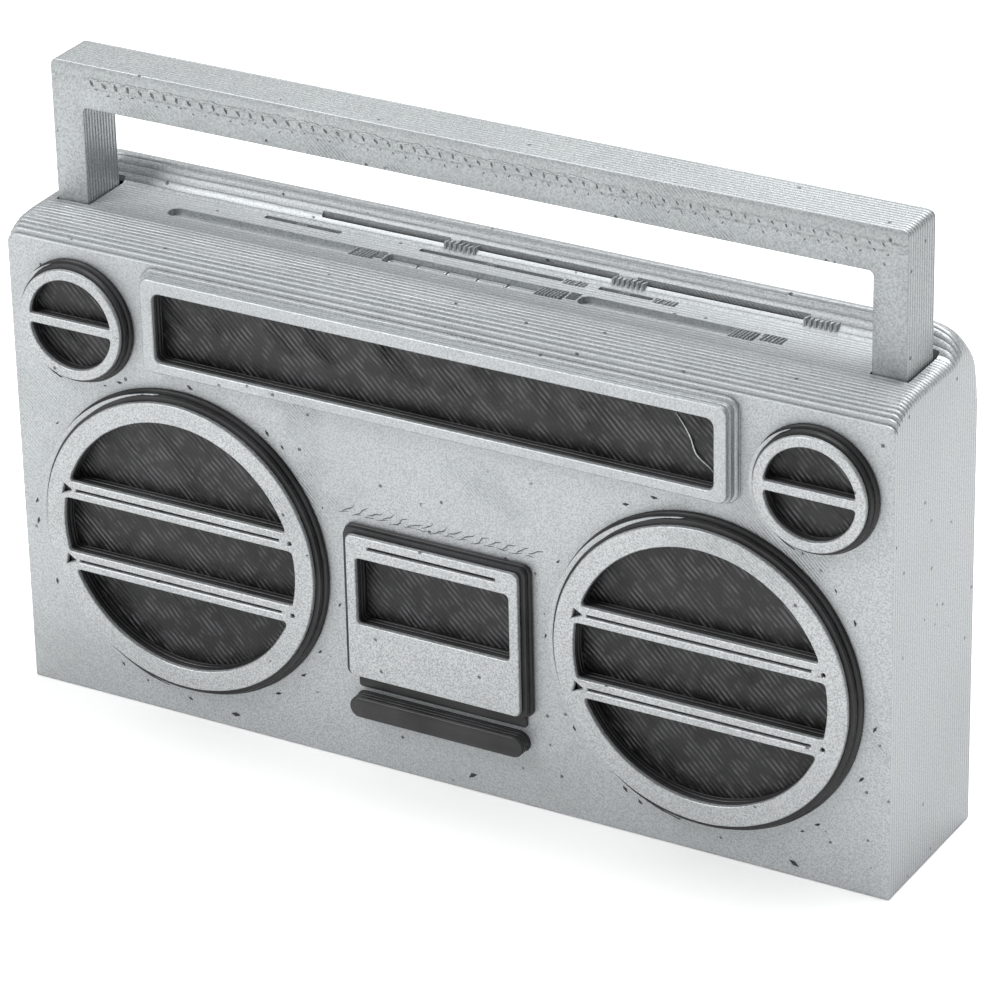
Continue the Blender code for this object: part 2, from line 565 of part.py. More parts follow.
def make_belt():
    """The loop round the motor pulley and the flywheel's groove."""
    reach = math.dist((MOTOR_X, MOTOR_Z), (CAPSTAN_X, CAPSTAN_Z))
    lean = math.atan2(CAPSTAN_Z - MOTOR_Z, CAPSTAN_X - MOTOR_X)
    small, large = PULLEY_R + GAP, FLYWHEEL_R + GAP
    wrap = math.acos((small - large) / reach)

    def loop(extra):
        points = []
        for centre_x, centre_z, radius, start, end in (
                (MOTOR_X, MOTOR_Z, small + extra, wrap, 2 * math.pi - wrap),
                (CAPSTAN_X, CAPSTAN_Z, large + extra, -wrap, wrap)):
            for step in range(13):
                angle = lean + start + (end - start) * step / 12
                points.append((centre_x + radius * math.cos(angle), centre_z + radius * math.sin(angle)))
        return points

    solid("drive_belt", [loop(1.0), loop(0)], "Y", CHASSIS_Y + 6.0, CHASSIS_Y + 7.0, "rubber")


# Keys, sliders and handle

def make_keys():
    left, right = KEY_TRENCH
    pitch = (right - left) / len(KEY_NAMES)
    for number, name in enumerate(KEY_NAMES):
        start = left + pitch * number
        key = block(f"{name}_key", (start + GAP, start + pitch - GAP), (KEY_FRONT + GAP, KEY_BACK - GAP),
                    (KEY_FOOT, KEY_TOP), "silver")
        bevel = key.modifiers.new("edges", "BEVEL")
        bevel.width = 0.8 * MM
        bevel.segments = 2
        hang(f"{name}_key_axis", start + pitch / 2, TRENCH_Y, KEY_FOOT, key)


def slider(name, x, y, thumb, stem, foot):
    """A slider's thumb on its stem, with a wider foot under the top wall. Each is (half width, half
    depth, low, high)."""
    layers = []
    for part, (wide, deep, low, high) in (("thumb", thumb), ("stem", stem), ("foot", foot)):
        collection = CUTTERS if layers else PARTS
        label = f"{name}_{part}" if layers else name
        layers.append(block(label, (x - wide, x + wide), (y - deep, y + deep), (low, high), "black",
                            collection))
    join(*layers)
    hang(f"{name}_axis", x, y, foot[2], layers[0])


def make_sliders():
    half, under = (KEY_BACK - KEY_FRONT) / 2, TRENCH_FLOOR - 2.5
    for name, x in (("volume_slider", VOLUME_X), ("tuning_slider", TUNING_X)):
        slider(name, x, TRENCH_Y, (THUMB_WIDTH / 2, half - GAP, TRENCH_FLOOR + GAP, SLIDER_TOP),
               (STEM_WIDTH / 2, STEM_DEPTH / 2, under - 2, TRENCH_FLOOR + 1),
               (STEM_WIDTH / 2 + 2, 5.0, under - 3.4, under - GAP))
    for name, (left, right) in SLITS.items():
        slider(f"{name}_slider", (left + right) / 2, SLIT_Y,
               (NARROW_THUMB / 2, SLIT_WIDTH / 2 - GAP, TOP_FLAT - 4, SLIDER_TOP),
               (NARROW_THUMB / 2 - 1, SLIT_WIDTH / 2 - GAP - 0.4, TOP_FLAT - 8, TOP_FLAT - 3),
               (NARROW_THUMB / 2 + 2, 4.6, TOP_FLAT - 10, TOP_FLAT - WALL - 2 * GAP))


def make_handle(cabinet):
    inner = HANDLE_OUT - HANDLE_LEG
    outline = [(-HANDLE_OUT, HANDLE_FOOT), (-inner, HANDLE_FOOT), (-inner, HANDLE_UNDER),
               (inner, HANDLE_UNDER), (inner, HANDLE_FOOT), (HANDLE_OUT, HANDLE_FOOT),
               (HANDLE_OUT, HANDLE_TOP), (-HANDLE_OUT, HANDLE_TOP)]
    wall = HANDLE_WALL
    hollow = [(-HANDLE_OUT + wall, HANDLE_FOOT - 9), (-inner - wall, HANDLE_FOOT - 9),
              (-inner - wall, HANDLE_UNDER + wall), (inner + wall, HANDLE_UNDER + wall),
              (inner + wall, HANDLE_FOOT - 9), (HANDLE_OUT - wall, HANDLE_FOOT - 9),
              (HANDLE_OUT - wall, HANDLE_TOP - wall), (-HANDLE_OUT + wall, HANDLE_TOP - wall)]
    handle = solid("handle", [outline], "Y", HANDLE_FRONT, HANDLE_BACK, "silver")
    bevel = handle.modifiers.new("edges", "BEVEL")
    bevel.width = 1.6 * MM
    bevel.segments = 2
    bevel.limit_method = "ANGLE"
    cut(handle, solid("handle_hollow", [hollow], "Y", HANDLE_FRONT + wall, HANDLE_BACK - wall,
                      "silver", CUTTERS))
    hang("handle_axis", 0, (HANDLE_FRONT + HANDLE_BACK) / 2, HANDLE_FOOT, handle)
    for side, name in ((-1, "left"), (1, "right")):
        far, near = side * (HALF - WALL + 0.5), side * (inner - 3.6)
        clear_far, clear_near = side * (HANDLE_OUT + 1.0), side * (inner - 1.0)
        outer = rect(min(far, near), max(far, near), HANDLE_FRONT - 3.6, HANDLE_BACK + 3.6)
        way = rect(min(clear_far, clear_near), max(clear_far, clear_near),
                   HANDLE_FRONT - 1.0, HANDLE_BACK + 1.0)
        join(cabinet, solid(f"handle_guide_{name}", [outer, way], "Z", 168.0, TOP_FLAT - WALL + 0.5,
                            "silver", CUTTERS))


def make_eject_bar():
    left, right, low, high = EJECT
    bar = solid("eject_bar", [rect(*EJECT, 6.9, 4)], "Y", FRONT - PROUD, INSIDE + 6.0, "black")
    flange = rect(left + 6, right - 6, low - 3, high + 3)
    join(bar, solid("eject_flange", [flange], "Y", INSIDE + 0.6, INSIDE + 2.6, "black", CUTTERS))
    hang("eject_axis", 0, FRONT, (low + high) / 2, bar)


# Electronics and batteries

def make_electronics():
    board = solid("main_board", [rect(-205.0, -70.0, 232.0, 290.0), circle(-200.0, 237.0, 1.6, 10),
                                 circle(-75.0, 285.0, 1.6, 10)], "Y", BOARD_Y, BOARD_Y + 1.6, "board")
    cans = ((-180, 250, 7), (-160, 250, 7), (-138, 272, 5), (-120, 272, 5), (-100, 246, 6), (-84, 246, 6))
    join(board, *[rod(f"capacitor_{i}", (x, BOARD_Y - 7.5, z), radius, 16.0, "Y", "board", 14, CUTTERS)
                  for i, (x, z, radius) in enumerate(cans)])
    join(board, rod("ferrite_rod", (-140.0, BOARD_Y - 2.0, 294.0), 5.0, 110.0, "X", "board", 14, CUTTERS))
    core = solid("transformer", [rect(-286.0, -226.0, 44.0, 96.0)], "Y", BACK - 36, BACK - 14, "ferrite")
    join(core, block("transformer_coil", (-275.0, -237.0), (BACK - 45.0, BACK - 5.0), (54.0, 86.0),
                     "ferrite", CUTTERS))
    left, right, low, high = INLET
    shell = rect(left + GAP, right - GAP, low + GAP, high - GAP, 1.8, 2)
    inlet = solid("mains_inlet", [shell], "Y", BACK - 18, BACK - 0.2, "black")
    well = rect(left + 3, right - 3, low + 3, high - 3, 3.0, 2)
    cut(inlet, solid("inlet_well", [well], "Y", BACK - 14, BACK + 9, "black", CUTTERS))
    x, z = (left + right) / 2, (low + high) / 2
    for number, side in enumerate((-1, 1)):
        join(inlet, rod(f"inlet_pin_{number}", (x + side * PIN_PITCH / 2, BACK - 9, z), 1.2, 14.0, "Y",
                        "black", 10, CUTTERS))


def make_batteries():
    left, right, low, high = BAY
    rows = (low + 2 + BATTERY_R + 1.6, high - 2 - BATTERY_R - 1.6)
    y = BAY_FRONT + 2 + BATTERY_R + 0.6
    strap = (left + 3.0, left + 4.4)
    pack = block("battery_pack", strap, (y - 8, y + 8), (rows[0] - 8, rows[1] + 8), "cell")
    cell, neck, start = 60.0, 4.5, left + 6.0
    for number, row in enumerate(rows):
        profile = [(0, left + 2.4), (neck, left + 2.4)]
        for count in range(3):
            foot = start + count * (cell + 1.6)
            profile += [(neck, foot), (BATTERY_R, foot + 0.6), (BATTERY_R, foot + cell - 0.6),
                        (neck, foot + cell)]
        profile.append((0, foot + cell))
        row_of_cells = turned(f"cells_{number}", profile, (0, y, row), "cell", 24, "X", CUTTERS)
        join(pack, row_of_cells)
    edge = BAY_LIP + GAP
    door = solid("battery_door", [rect(left + edge, right - edge, low + edge, high - edge)], "Y",
                 BACK - WALL + 0.2, BACK, "silver")
    ribs = [rect(left + 30, right - 30, z, z + 2) for z in range(24, 72, 6)]
    cut(door, solid("door_grip", ribs, "Y", BACK - 0.9, BACK + 5, "silver", CUTTERS))
    hang("battery_door_axis", 0, BACK - 0.9, low + edge + 1.1, door)


cabinet_shell = make_cabinet()
make_rear()
for which, label in ((-1, "left"), (1, "right")):
    make_woofer(which, label)
    make_tweeter(which, label)
make_tuner()
make_door()
make_deck()
make_keys()
make_sliders()
make_handle(cabinet_shell)
make_eject_bar()
make_electronics()
make_batteries()
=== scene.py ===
"""The looks of the radio cassette player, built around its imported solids. Lengths are in metres, in the
frame of the solids: +Z up, +X to the right of a person facing the front, which looks along -Y."""

import json
import math

import bpy
from mathutils import Matrix, Vector, noise
from mathutils.geometry import tessellate_polygon

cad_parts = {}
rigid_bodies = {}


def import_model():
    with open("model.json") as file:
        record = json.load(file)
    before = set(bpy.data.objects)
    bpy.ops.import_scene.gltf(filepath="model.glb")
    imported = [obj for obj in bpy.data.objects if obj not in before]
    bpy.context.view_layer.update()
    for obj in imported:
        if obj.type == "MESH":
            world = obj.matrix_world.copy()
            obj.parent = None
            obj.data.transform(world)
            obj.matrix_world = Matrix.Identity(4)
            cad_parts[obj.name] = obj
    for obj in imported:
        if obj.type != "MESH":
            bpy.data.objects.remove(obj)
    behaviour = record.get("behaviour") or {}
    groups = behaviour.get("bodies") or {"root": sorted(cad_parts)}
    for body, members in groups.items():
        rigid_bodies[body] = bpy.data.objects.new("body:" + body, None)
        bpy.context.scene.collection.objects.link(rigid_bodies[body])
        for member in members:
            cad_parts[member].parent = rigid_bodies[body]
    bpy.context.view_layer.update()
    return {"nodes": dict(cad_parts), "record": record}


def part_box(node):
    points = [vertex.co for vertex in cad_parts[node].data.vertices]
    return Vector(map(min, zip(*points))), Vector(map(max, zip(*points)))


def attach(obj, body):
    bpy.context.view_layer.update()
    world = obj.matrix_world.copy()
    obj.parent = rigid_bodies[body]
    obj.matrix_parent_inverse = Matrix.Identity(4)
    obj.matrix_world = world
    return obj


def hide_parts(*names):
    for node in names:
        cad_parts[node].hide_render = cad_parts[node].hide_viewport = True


for old in list(bpy.data.objects):
    bpy.data.objects.remove(old, do_unlink=True)
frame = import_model()

noise.seed_set(7)  # so that uneven surfaces are the same at each run

MM = 0.001
GAP = 0.4 * MM  # between a piece and its neighbour
MARGIN = 0.25 * MM  # left for uneven surfaces
FLUSH = 0.5 * MM  # the most that anything under the lowered handle stands above the top
LAYER = 3.0 * MM  # pitch of the fine ridges that run round every piece

# Sizes read from the solids
CABINET_LOW, CABINET_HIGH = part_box("front_cabinet")
LEFT, RIGHT = CABINET_LOW.x, CABINET_HIGH.x
FRONT, BACK = CABINET_LOW.y, CABINET_HIGH.y
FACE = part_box("tuner_frame")[0].y  # the foremost faces
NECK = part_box("door_surround")[0].y  # front of the dark bases
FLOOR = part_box("tuner_window")[0].y  # the dark floors
TRENCH_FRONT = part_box("play_key")[0].y - GAP
TRENCH_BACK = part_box("play_key")[1].y + GAP
SLIT_Y = (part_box("tone_slider")[0].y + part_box("tone_slider")[1].y) / 2

# The cabinet's shape
WALL = 3.0 * MM
TOP_FLAT, TOP_RAIL = 317.0 * MM, CABINET_HIGH.z
FRONT_EDGE, BACK_EDGE = 302.0 * MM, 281.0 * MM
SWEEP = 33.0 * MM  # depth of the curved front top
RAIL_FOOT, RAIL_CREST = FRONT + 75.0 * MM, FRONT + 90.0 * MM
END_ROUND = 6.0 * MM
RAIL_FADE = 26.0 * MM
DOOR_WAY = (-57.5 * MM, 57.5 * MM, 70.0 * MM, 152.5 * MM)
SLIDER_TRENCHES = ((-216.0 * MM, -69.0 * MM), (69.0 * MM, 186.0 * MM))
KEY_TRENCH = (-63.0 * MM, 60.0 * MM)
TRENCH_FLOOR = 313.0 * MM
SLITS = ((-159.0 * MM, -105.0 * MM), (-50.0 * MM, 48.0 * MM), (72.0 * MM, 108.0 * MM))
SLIT_HALF = 2.0 * MM
VENT_Y = FRONT + 81.0 * MM
VENTS = ((-123.5 * MM, -33.5 * MM), (-27.5 * MM, 80.5 * MM), (92.5 * MM, 206.5 * MM))

# The handle
LEG = 22.7 * MM  # width of an upright
BAR_UNDER = 380.0 * MM  # underside of the bar

# Openings in the rings and frames of the front, as (left, right, low, high) where they are not round
BAR_DROP, BAR_OFFSET, BAR_HEIGHT = 2.0 * MM, 24.6 * MM, 12.3 * MM
WOOFER_OPEN, TWEETER_OPEN, TWEETER_BAR = 83.5 * MM, 29.4 * MM, 6.3 * MM
TUNER_OPEN = (-190.0 * MM, 190.0 * MM, 246.5 * MM, 292.0 * MM)
DOOR_WINDOW = (-52.8 * MM, 52.8 * MM, 101.5 * MM, 146.0 * MM)
DOOR_SLIT = (-44.0 * MM, 44.0 * MM, 153.2 * MM, 155.0 * MM)

# Edges
CRISP = {"edge": 0.7 * MM, "groove": 0.2 * MM}  # of the foremost plates

# Panels with streaks
STREAK = 3.0 * MM
STREAK_DEPTH = 0.75 * MM
PANEL_THICK = 1.4 * MM
PANEL_LIFT = 5.5 * MM  # how far the panels stand forward inside their openings

# Stage and camera
FLOOR_TONE, ROOM_LIGHT = 0.95, 0.56
LAMPS = (("key_light", (-2.0, -2.0, 3.0), 120.0, 1.6), ("top_light", (0.4, 1.2, 3.2), 160.0, 2.4))
LAMP_AIM = Vector((0, 0, 0.15))
CAMERA_PLACE = Vector((1.4433, -2.4602, 1.6042))
CAMERA_RIGHT = Vector((0.8689, 0.4945, -0.0209))
CAMERA_UP = Vector((-0.2053, 0.3985, 0.8939))
CAMERA_FORWARD = Vector((-0.4503, 0.7725, -0.4478))
CAMERA_LENS = 193.6


# Materials

def add(tree, kind, *links, **settings):
    """A node, with its settings and its inputs, each of which is a socket or a value."""
    made = tree.nodes.new("ShaderNode" + kind)
    for key, value in settings.items():
        setattr(made, key, value)
    for slot, value in links:
        if isinstance(value, bpy.types.NodeSocket):
            tree.links.new(value, made.inputs[slot])
        else:
            made.inputs[slot].default_value = value
    return made


def maths(tree, operation, *values, clamp=False):
    return add(tree, "Math", *enumerate(values), operation=operation, use_clamp=clamp).outputs[0]


def times(tree, *values):
    return maths(tree, "MULTIPLY", *values)


def minus(tree, *values):
    return maths(tree, "SUBTRACT", *values)


def grain(tree, place, scale, detail=2.0, distortion=0.0):
    """Noise from 0 to 1, with features about 1 / scale metres across."""
    made = add(tree, "TexNoise", ("Vector", place), ("Scale", scale), ("Detail", detail),
               ("Distortion", distortion))
    return made.outputs["Fac"]


def step(tree, value, low, high):
    """0 below low, 1 above high, and smooth between them."""
    made = add(tree, "MapRange", ("Value", value), ("From Min", low), ("From Max", high),
               interpolation_type="SMOOTHSTEP")
    return made.outputs["Result"]


def blend_colours(tree, share, first, second):
    first, second = ((*one, 1.0) if isinstance(one, tuple) else one for one in (first, second))
    made = add(tree, "Mix", ("Factor", share), (6, first), (7, second), data_type="RGBA")
    return made.outputs[2]


def bump(tree, height, distance, below=None, strength=1.0):
    links = [("Height", height), ("Distance", distance), ("Strength", strength)]
    if below is not None:
        links.append(("Normal", below))
    return add(tree, "Bump", *links).outputs["Normal"]


def vary_roughness(tree, shader, value, low, high):
    spread = add(tree, "MapRange", ("Value", value), ("To Min", low), ("To Max", high))
    tree.links.new(spread.outputs["Result"], shader.inputs["Roughness"])


def blank(name, metallic, specular=0.5):
    made = bpy.data.materials.new(name)
    made.use_nodes = True
    shader = made.node_tree.nodes["Principled BSDF"]
    shader.inputs["Metallic"].default_value = metallic
    shader.inputs["Specular IOR Level"].default_value = specular
    return made, made.node_tree, shader


def ridges(tree):
    """The place on the piece, whole and split into X, Y and Z, the height of the layer ridges, from 0 in
    a groove to 1 on a crest, and where they show: on every face that doesn't face forward or back."""
    coordinates = add(tree, "TexCoord")
    place, facing = coordinates.outputs["Object"], coordinates.outputs["Normal"]
    axis = add(tree, "SeparateXYZ", ("Vector", place))
    sway = times(tree, minus(tree, grain(tree, place, 35.0), 0.5), 0.5 * MM)
    depth = maths(tree, "ADD", minus(tree, axis.outputs["Y"], FRONT), sway)
    turns = times(tree, depth, math.pi / LAYER)
    crest = maths(tree, "POWER", maths(tree, "ABSOLUTE", maths(tree, "SINE", turns)), 0.45)
    toward = maths(tree, "ABSOLUTE", add(tree, "SeparateXYZ", ("Vector", facing)).outputs["Y"])
    shown = minus(tree, 1.0, step(tree, toward, 0.80, 0.97))
    return place, axis, crest, shown


def diagonal(tree, axis, place, pitch, waver):
    """Lines from upper left to lower right, from 0 between them to 1 on them."""
    across = times(tree, maths(tree, "ADD", axis.outputs["X"], axis.outputs["Z"]), 0.7071)
    sway = times(tree, minus(tree, grain(tree, place, 60.0, 3.0), 0.5), waver)
    turns = times(tree, maths(tree, "ADD", across, sway), math.pi / pitch)
    return maths(tree, "ABSOLUTE", maths(tree, "SINE", turns))


def silver(name, light=(0.445, 0.465, 0.475), dark=(0.29, 0.305, 0.31), groove=0.3, scaly=None):
    """Metallic silver plastic: fine mottle, ridges round the sides with painted shade in the grooves between
    them, faint slanting lines on the faces, and sparse dark nicks. scaly is (height, half width) of a rough
    band along a face."""
    made, tree, shader = blank(name, 0.62, 0.45)
    place, axis, crest, shown = ridges(tree)
    flake = grain(tree, place, 900.0, 6.0)
    patch = grain(tree, place, 9.0, 3.0)
    lines = diagonal(tree, axis, place, 2.0 * MM, 1.2 * MM)
    rough_patch = step(tree, grain(tree, place, 16.0, 2.0), 0.5, 0.68)
    faces = times(tree, minus(tree, 1.0, shown), rough_patch)
    cell = add(tree, "TexVoronoi", ("Vector", place), ("Scale", 62.0), ("Randomness", 1.0))
    nick_shape = add(tree, "TexVoronoi", ("Vector", place), ("Scale", 210.0))
    nick = minus(tree, 1.0, step(tree, cell.outputs["Distance"], 0.05, 0.085))
    nick = maths(tree, "MULTIPLY", nick, step(tree, nick_shape.outputs["Distance"], 0.2, 0.6), clamp=True)

    sheen = step(tree, flake, 0.32, 0.66)
    colour = blend_colours(tree, sheen, dark, light)
    colour = blend_colours(tree, times(tree, step(tree, patch, 0.35, 0.7), 0.22), colour, dark)
    # Painted shade: the grooves between the layer ridges are darkened towards grey in the colour.
    groove_shade = times(tree, minus(tree, 1.0, crest), shown)
    colour = blend_colours(tree, times(tree, groove_shade, 0.75), colour, (0.16, 0.17, 0.175))
    colour = blend_colours(tree, times(tree, nick, 0.85), colour, (0.07, 0.07, 0.075))
    tree.links.new(colour, shader.inputs["Base Color"])
    vary_roughness(tree, shader, flake, 0.34, 0.58)

    normal = bump(tree, times(tree, crest, shown), groove * MM)
    normal = bump(tree, flake, 0.15 * MM, normal)
    normal = bump(tree, times(tree, lines, faces), 0.22 * MM, normal)
    normal = bump(tree, minus(tree, 1.0, nick), 0.5 * MM, normal)
    if scaly:
        height, half = scaly
        off = maths(tree, "ABSOLUTE", minus(tree, axis.outputs["Z"], height))
        band = minus(tree, 1.0, step(tree, off, half * 0.4, half))
        scales = add(tree, "TexVoronoi", ("Vector", place), ("Scale", 240.0), ("Randomness", 0.7))
        band = times(tree, band, minus(tree, 1.0, shown))
        normal = bump(tree, times(tree, scales.outputs["Distance"], band), 0.7 * MM, normal)
    tree.links.new(normal, shader.inputs["Normal"])
    return made


def black(name, tone=0.016, groove=0.3, streak_highlights=False):
    """Semi-matte black plastic, with the same ridges round its sides. A face given pale slanting
    streaks carries them as painted highlight."""
    made, tree, shader = blank(name, 0.0, 0.32)
    place, axis, crest, shown = ridges(tree)
    fine = grain(tree, place, 420.0, 4.0)
    patch = grain(tree, place, 22.0, 3.0)
    light = tuple(tone * k for k in (1.7, 1.7, 1.8))
    dark = tuple(tone * k for k in (0.6, 0.6, 0.62))
    colour = blend_colours(tree, step(tree, patch, 0.3, 0.7), dark, light)
    speck = step(tree, grain(tree, place, 900.0, 2.0), 0.70, 0.78)
    colour = blend_colours(tree, times(tree, speck, 0.35), colour, (0.16, 0.16, 0.17))
    # Painted highlight: pale slanting streaks, in patches, lighten the black.
    if streak_highlights:
        lines = step(tree, diagonal(tree, axis, place, 3.4 * MM, 3.0 * MM), 0.62, 0.98)
        highlight_patch = step(tree, grain(tree, place, 110.0, 4.0), 0.38, 0.66)
        streaks = times(tree, times(tree, lines, highlight_patch), 0.75)
        colour = blend_colours(tree, streaks, colour, (0.085, 0.085, 0.09))
    tree.links.new(colour, shader.inputs["Base Color"])
    vary_roughness(tree, shader, fine, 0.26, 0.50)
    normal = bump(tree, times(tree, crest, shown), groove * MM)
    normal = bump(tree, fine, 0.12 * MM, normal)
    tree.links.new(normal, shader.inputs["Normal"])
    return made


def plain(name, light, dark, metallic, roughness, scale=200.0, stretch=(1.0, 1.0, 1.0), depth=0.05):
    """The finish of an inner piece: two tones of mottle, stretched where the piece is turned or rolled."""
    made, tree, shader = blank(name, metallic)
    place = add(tree, "TexCoord").outputs["Object"]
    place = add(tree, "Mapping", ("Vector", place), ("Scale", stretch)).outputs["Vector"]
    mottle = grain(tree, place, scale, 4.0)
    colour = blend_colours(tree, step(tree, mottle, 0.3, 0.7), dark, light)
    tree.links.new(colour, shader.inputs["Base Color"])
    vary_roughness(tree, shader, mottle, roughness - 0.08, roughness + 0.1)
    tree.links.new(bump(tree, mottle, depth * MM), shader.inputs["Normal"])
    return made


SILVER = silver("silver_body")
HANDLE_SILVER = silver("silver_handle", light=(0.40, 0.42, 0.425), dark=(0.26, 0.275, 0.28),
                       scaly=(397.0 * MM, 4.0 * MM))
# Dark grey silver that paints the shade inside dents and scratches.
PIT_SHADE = silver("pit_shade_grey", light=(0.17, 0.175, 0.18), dark=(0.05, 0.05, 0.053))
RING_SILVER = silver("silver_ring", light=(0.48, 0.50, 0.505), dark=(0.27, 0.28, 0.285))
BLACK = black("black_base")
# The dark panels carry pale slanting streaks of painted highlight.
PANEL = black("dark_panel", tone=0.008, streak_highlights=True)
STEEL = plain("zinc_steel", (0.62, 0.63, 0.64), (0.46, 0.47, 0.49), 1.0, 0.34, 90.0, (1.0, 1.0, 9.0))
BRASS = plain("turned_brass", (0.70, 0.54, 0.24), (0.52, 0.38, 0.15), 1.0, 0.28, 160.0, (1.0, 8.0, 1.0))
RUBBER = plain("soft_rubber", (0.030, 0.030, 0.030), (0.014, 0.014, 0.014), 0.0, 0.75, 500.0)
CONE = plain("pressed_paper", (0.055, 0.055, 0.057), (0.022, 0.022, 0.023), 0.0, 0.85, 700.0, depth=0.15)
IRON = plain("laminated_iron", (0.12, 0.12, 0.125), (0.06, 0.06, 0.063), 0.4, 0.55, 300.0, (1.0, 7.0, 1.0))
BOARD = plain("circuit_board", (0.05, 0.17, 0.075), (0.02, 0.09, 0.035), 0.0, 0.42, 70.0)
CELLS = plain("cell_case", (0.26, 0.28, 0.33), (0.16, 0.17, 0.21), 0.5, 0.36, 120.0)


# Outlines: anticlockwise lists of (x, z) points, seen from the front

def rect(left, right, low, high, radius=0.0, steps=5):
    if not radius:
        return [(left, low), (right, low), (right, high), (left, high)]
    corners = ((right - radius, low + radius, -90), (right - radius, high - radius, 0),
               (left + radius, high - radius, 90), (left + radius, low + radius, 180))
    points = []
    for x, z, start in corners:
        for number in range(steps + 1):
            angle = math.radians(start + 90 * number / steps)
            points.append((x + radius * math.cos(angle), z + radius * math.sin(angle)))
    return points


def circle(x, z, radius, steps=96):
    return [(x + radius * math.cos(2 * math.pi * i / steps), z + radius * math.sin(2 * math.pi * i / steps))
            for i in range(steps)]


def round_corners(points, radius, steps=4):
    """The outline with each sharp corner turned into a short curve. The radius is one for all corners,
    or a list of one for each."""
    radii = radius if isinstance(radius, list) else [radius] * len(points)
    made = []
    for i, here in enumerate(points):
        before, after = Vector(points[i - 1]), Vector(points[(i + 1) % len(points)])
        corner = Vector(here)
        into, out = before - corner, after - corner
        if into.angle(out) > math.radians(140):
            made.append(here)
            continue
        start = corner + into.normalized() * min(radii[i], into.length * 0.9)
        end = corner + out.normalized() * min(radii[i], out.length * 0.9)
        for number in range(steps + 1):
            t = number / steps
            bend = start * (1 - t) ** 2 + corner * 2 * t * (1 - t) + end * t * t
            made.append((bend.x, bend.y))
    return made


def chord_band(x, z, radius, low, high, corner=3.5 * MM, steps=22):
    """The part of a disc between two levels, measured from its centre, with softened corners."""
    low, high = max(low, -radius), min(high, radius)
    start, end = math.asin(low / radius), math.asin(high / radius)
    right = [start + (end - start) * i / steps for i in range(steps + 1)]
    angles = right + [math.pi - angle for angle in reversed(right)]
    points = []
    for angle in angles:
        point = (x + radius * math.cos(angle), z + radius * math.sin(angle))
        if not points or min(math.dist(point, points[-1]), math.dist(point, points[0])) > 0.2 * MM:
            points.append(point)
    return round_corners(points, corner)


def arc_band(x, z, inner, outer, start, end, steps=60):
    """Part of a flat ring between two angles in degrees, drawn to a point at both ends."""
    points, back = [], []
    for number in range(steps + 1):
        share = number / steps
        angle = math.radians(start + (end - start) * share)
        width = (outer - inner) * min(1.0, 5 * share, 5 * (1 - share))
        points.append((x + outer * math.cos(angle), z + outer * math.sin(angle)))
        if 0 < number < steps:
            back.append((x + (outer - width) * math.cos(angle), z + (outer - width) * math.sin(angle)))
    return points + back[::-1]


def uneven(x, y, z):
    return noise.noise(Vector((x, y, z)))


def sliver(x, z, length, width, turn, seed, steps=8):
    """A thin wavering mark that narrows to both ends, turned anticlockwise in degrees."""
    upper, lower = [], []
    cosine, sine = math.cos(math.radians(turn)), math.sin(math.radians(turn))
    for number in range(steps + 1):
        share = number / steps
        along = length * (share - 0.5)
        bend = 0.14 * length * uneven(seed * 7.3, share * 2.4, 1.0)
        half = width / 2 * (0.12 + math.sin(math.pi * share) ** 0.7)
        for side, points in ((half, upper), (-half, lower)):
            across = bend + side
            points.append((x + along * cosine - across * sine, z + along * sine + across * cosine))
    return lower + upper[::-1]


# Mesh building

def in_scene(name, data):
    obj = bpy.data.objects.new(name, data)
    bpy.context.scene.collection.objects.link(obj)
    return obj


def finish_piece(name, points, faces, material, body, stands_for=(), slot="silver", smooth=38.0):
    """The named piece, riding on its body."""
    mesh = bpy.data.meshes.new(name)
    mesh.from_pydata(points, [], faces)
    mesh.validate()
    mesh.update()
    return settle(mesh, name, material, body, stands_for, smooth)


def settle(mesh, name, material, body, stands_for, smooth=38.0):
    """The mesh as a named piece. Faces that meet at less than smooth degrees are shaded as one."""
    mesh.materials.clear()
    mesh.materials.append(material)
    mesh.shade_smooth()
    mesh.set_sharp_from_angle(angle=math.radians(smooth))
    obj = in_scene(name, mesh)
    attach(obj, body)
    if stands_for:
        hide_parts(*stands_for)
    return obj


def inset(points, amount):
    """The outline moved to its left, which is into the material where holes run clockwise."""
    made = []
    count = len(points)
    for i in range(count):
        before, here, after = Vector(points[i - 1]), Vector(points[i]), Vector(points[(i + 1) % count])
        first, second = (here - before).normalized(), (after - here).normalized()
        normal = Vector((-(first.y + second.y), first.x + second.x))
        if normal.length < 1e-9:
            normal = Vector((-first.y, first.x))
        normal.normalize()
        lean = max(0.5, normal.dot(Vector((-first.y, first.x))))
        shifted = here + normal * (amount / lean)
        made.append((shifted.x, shifted.y))
    return made


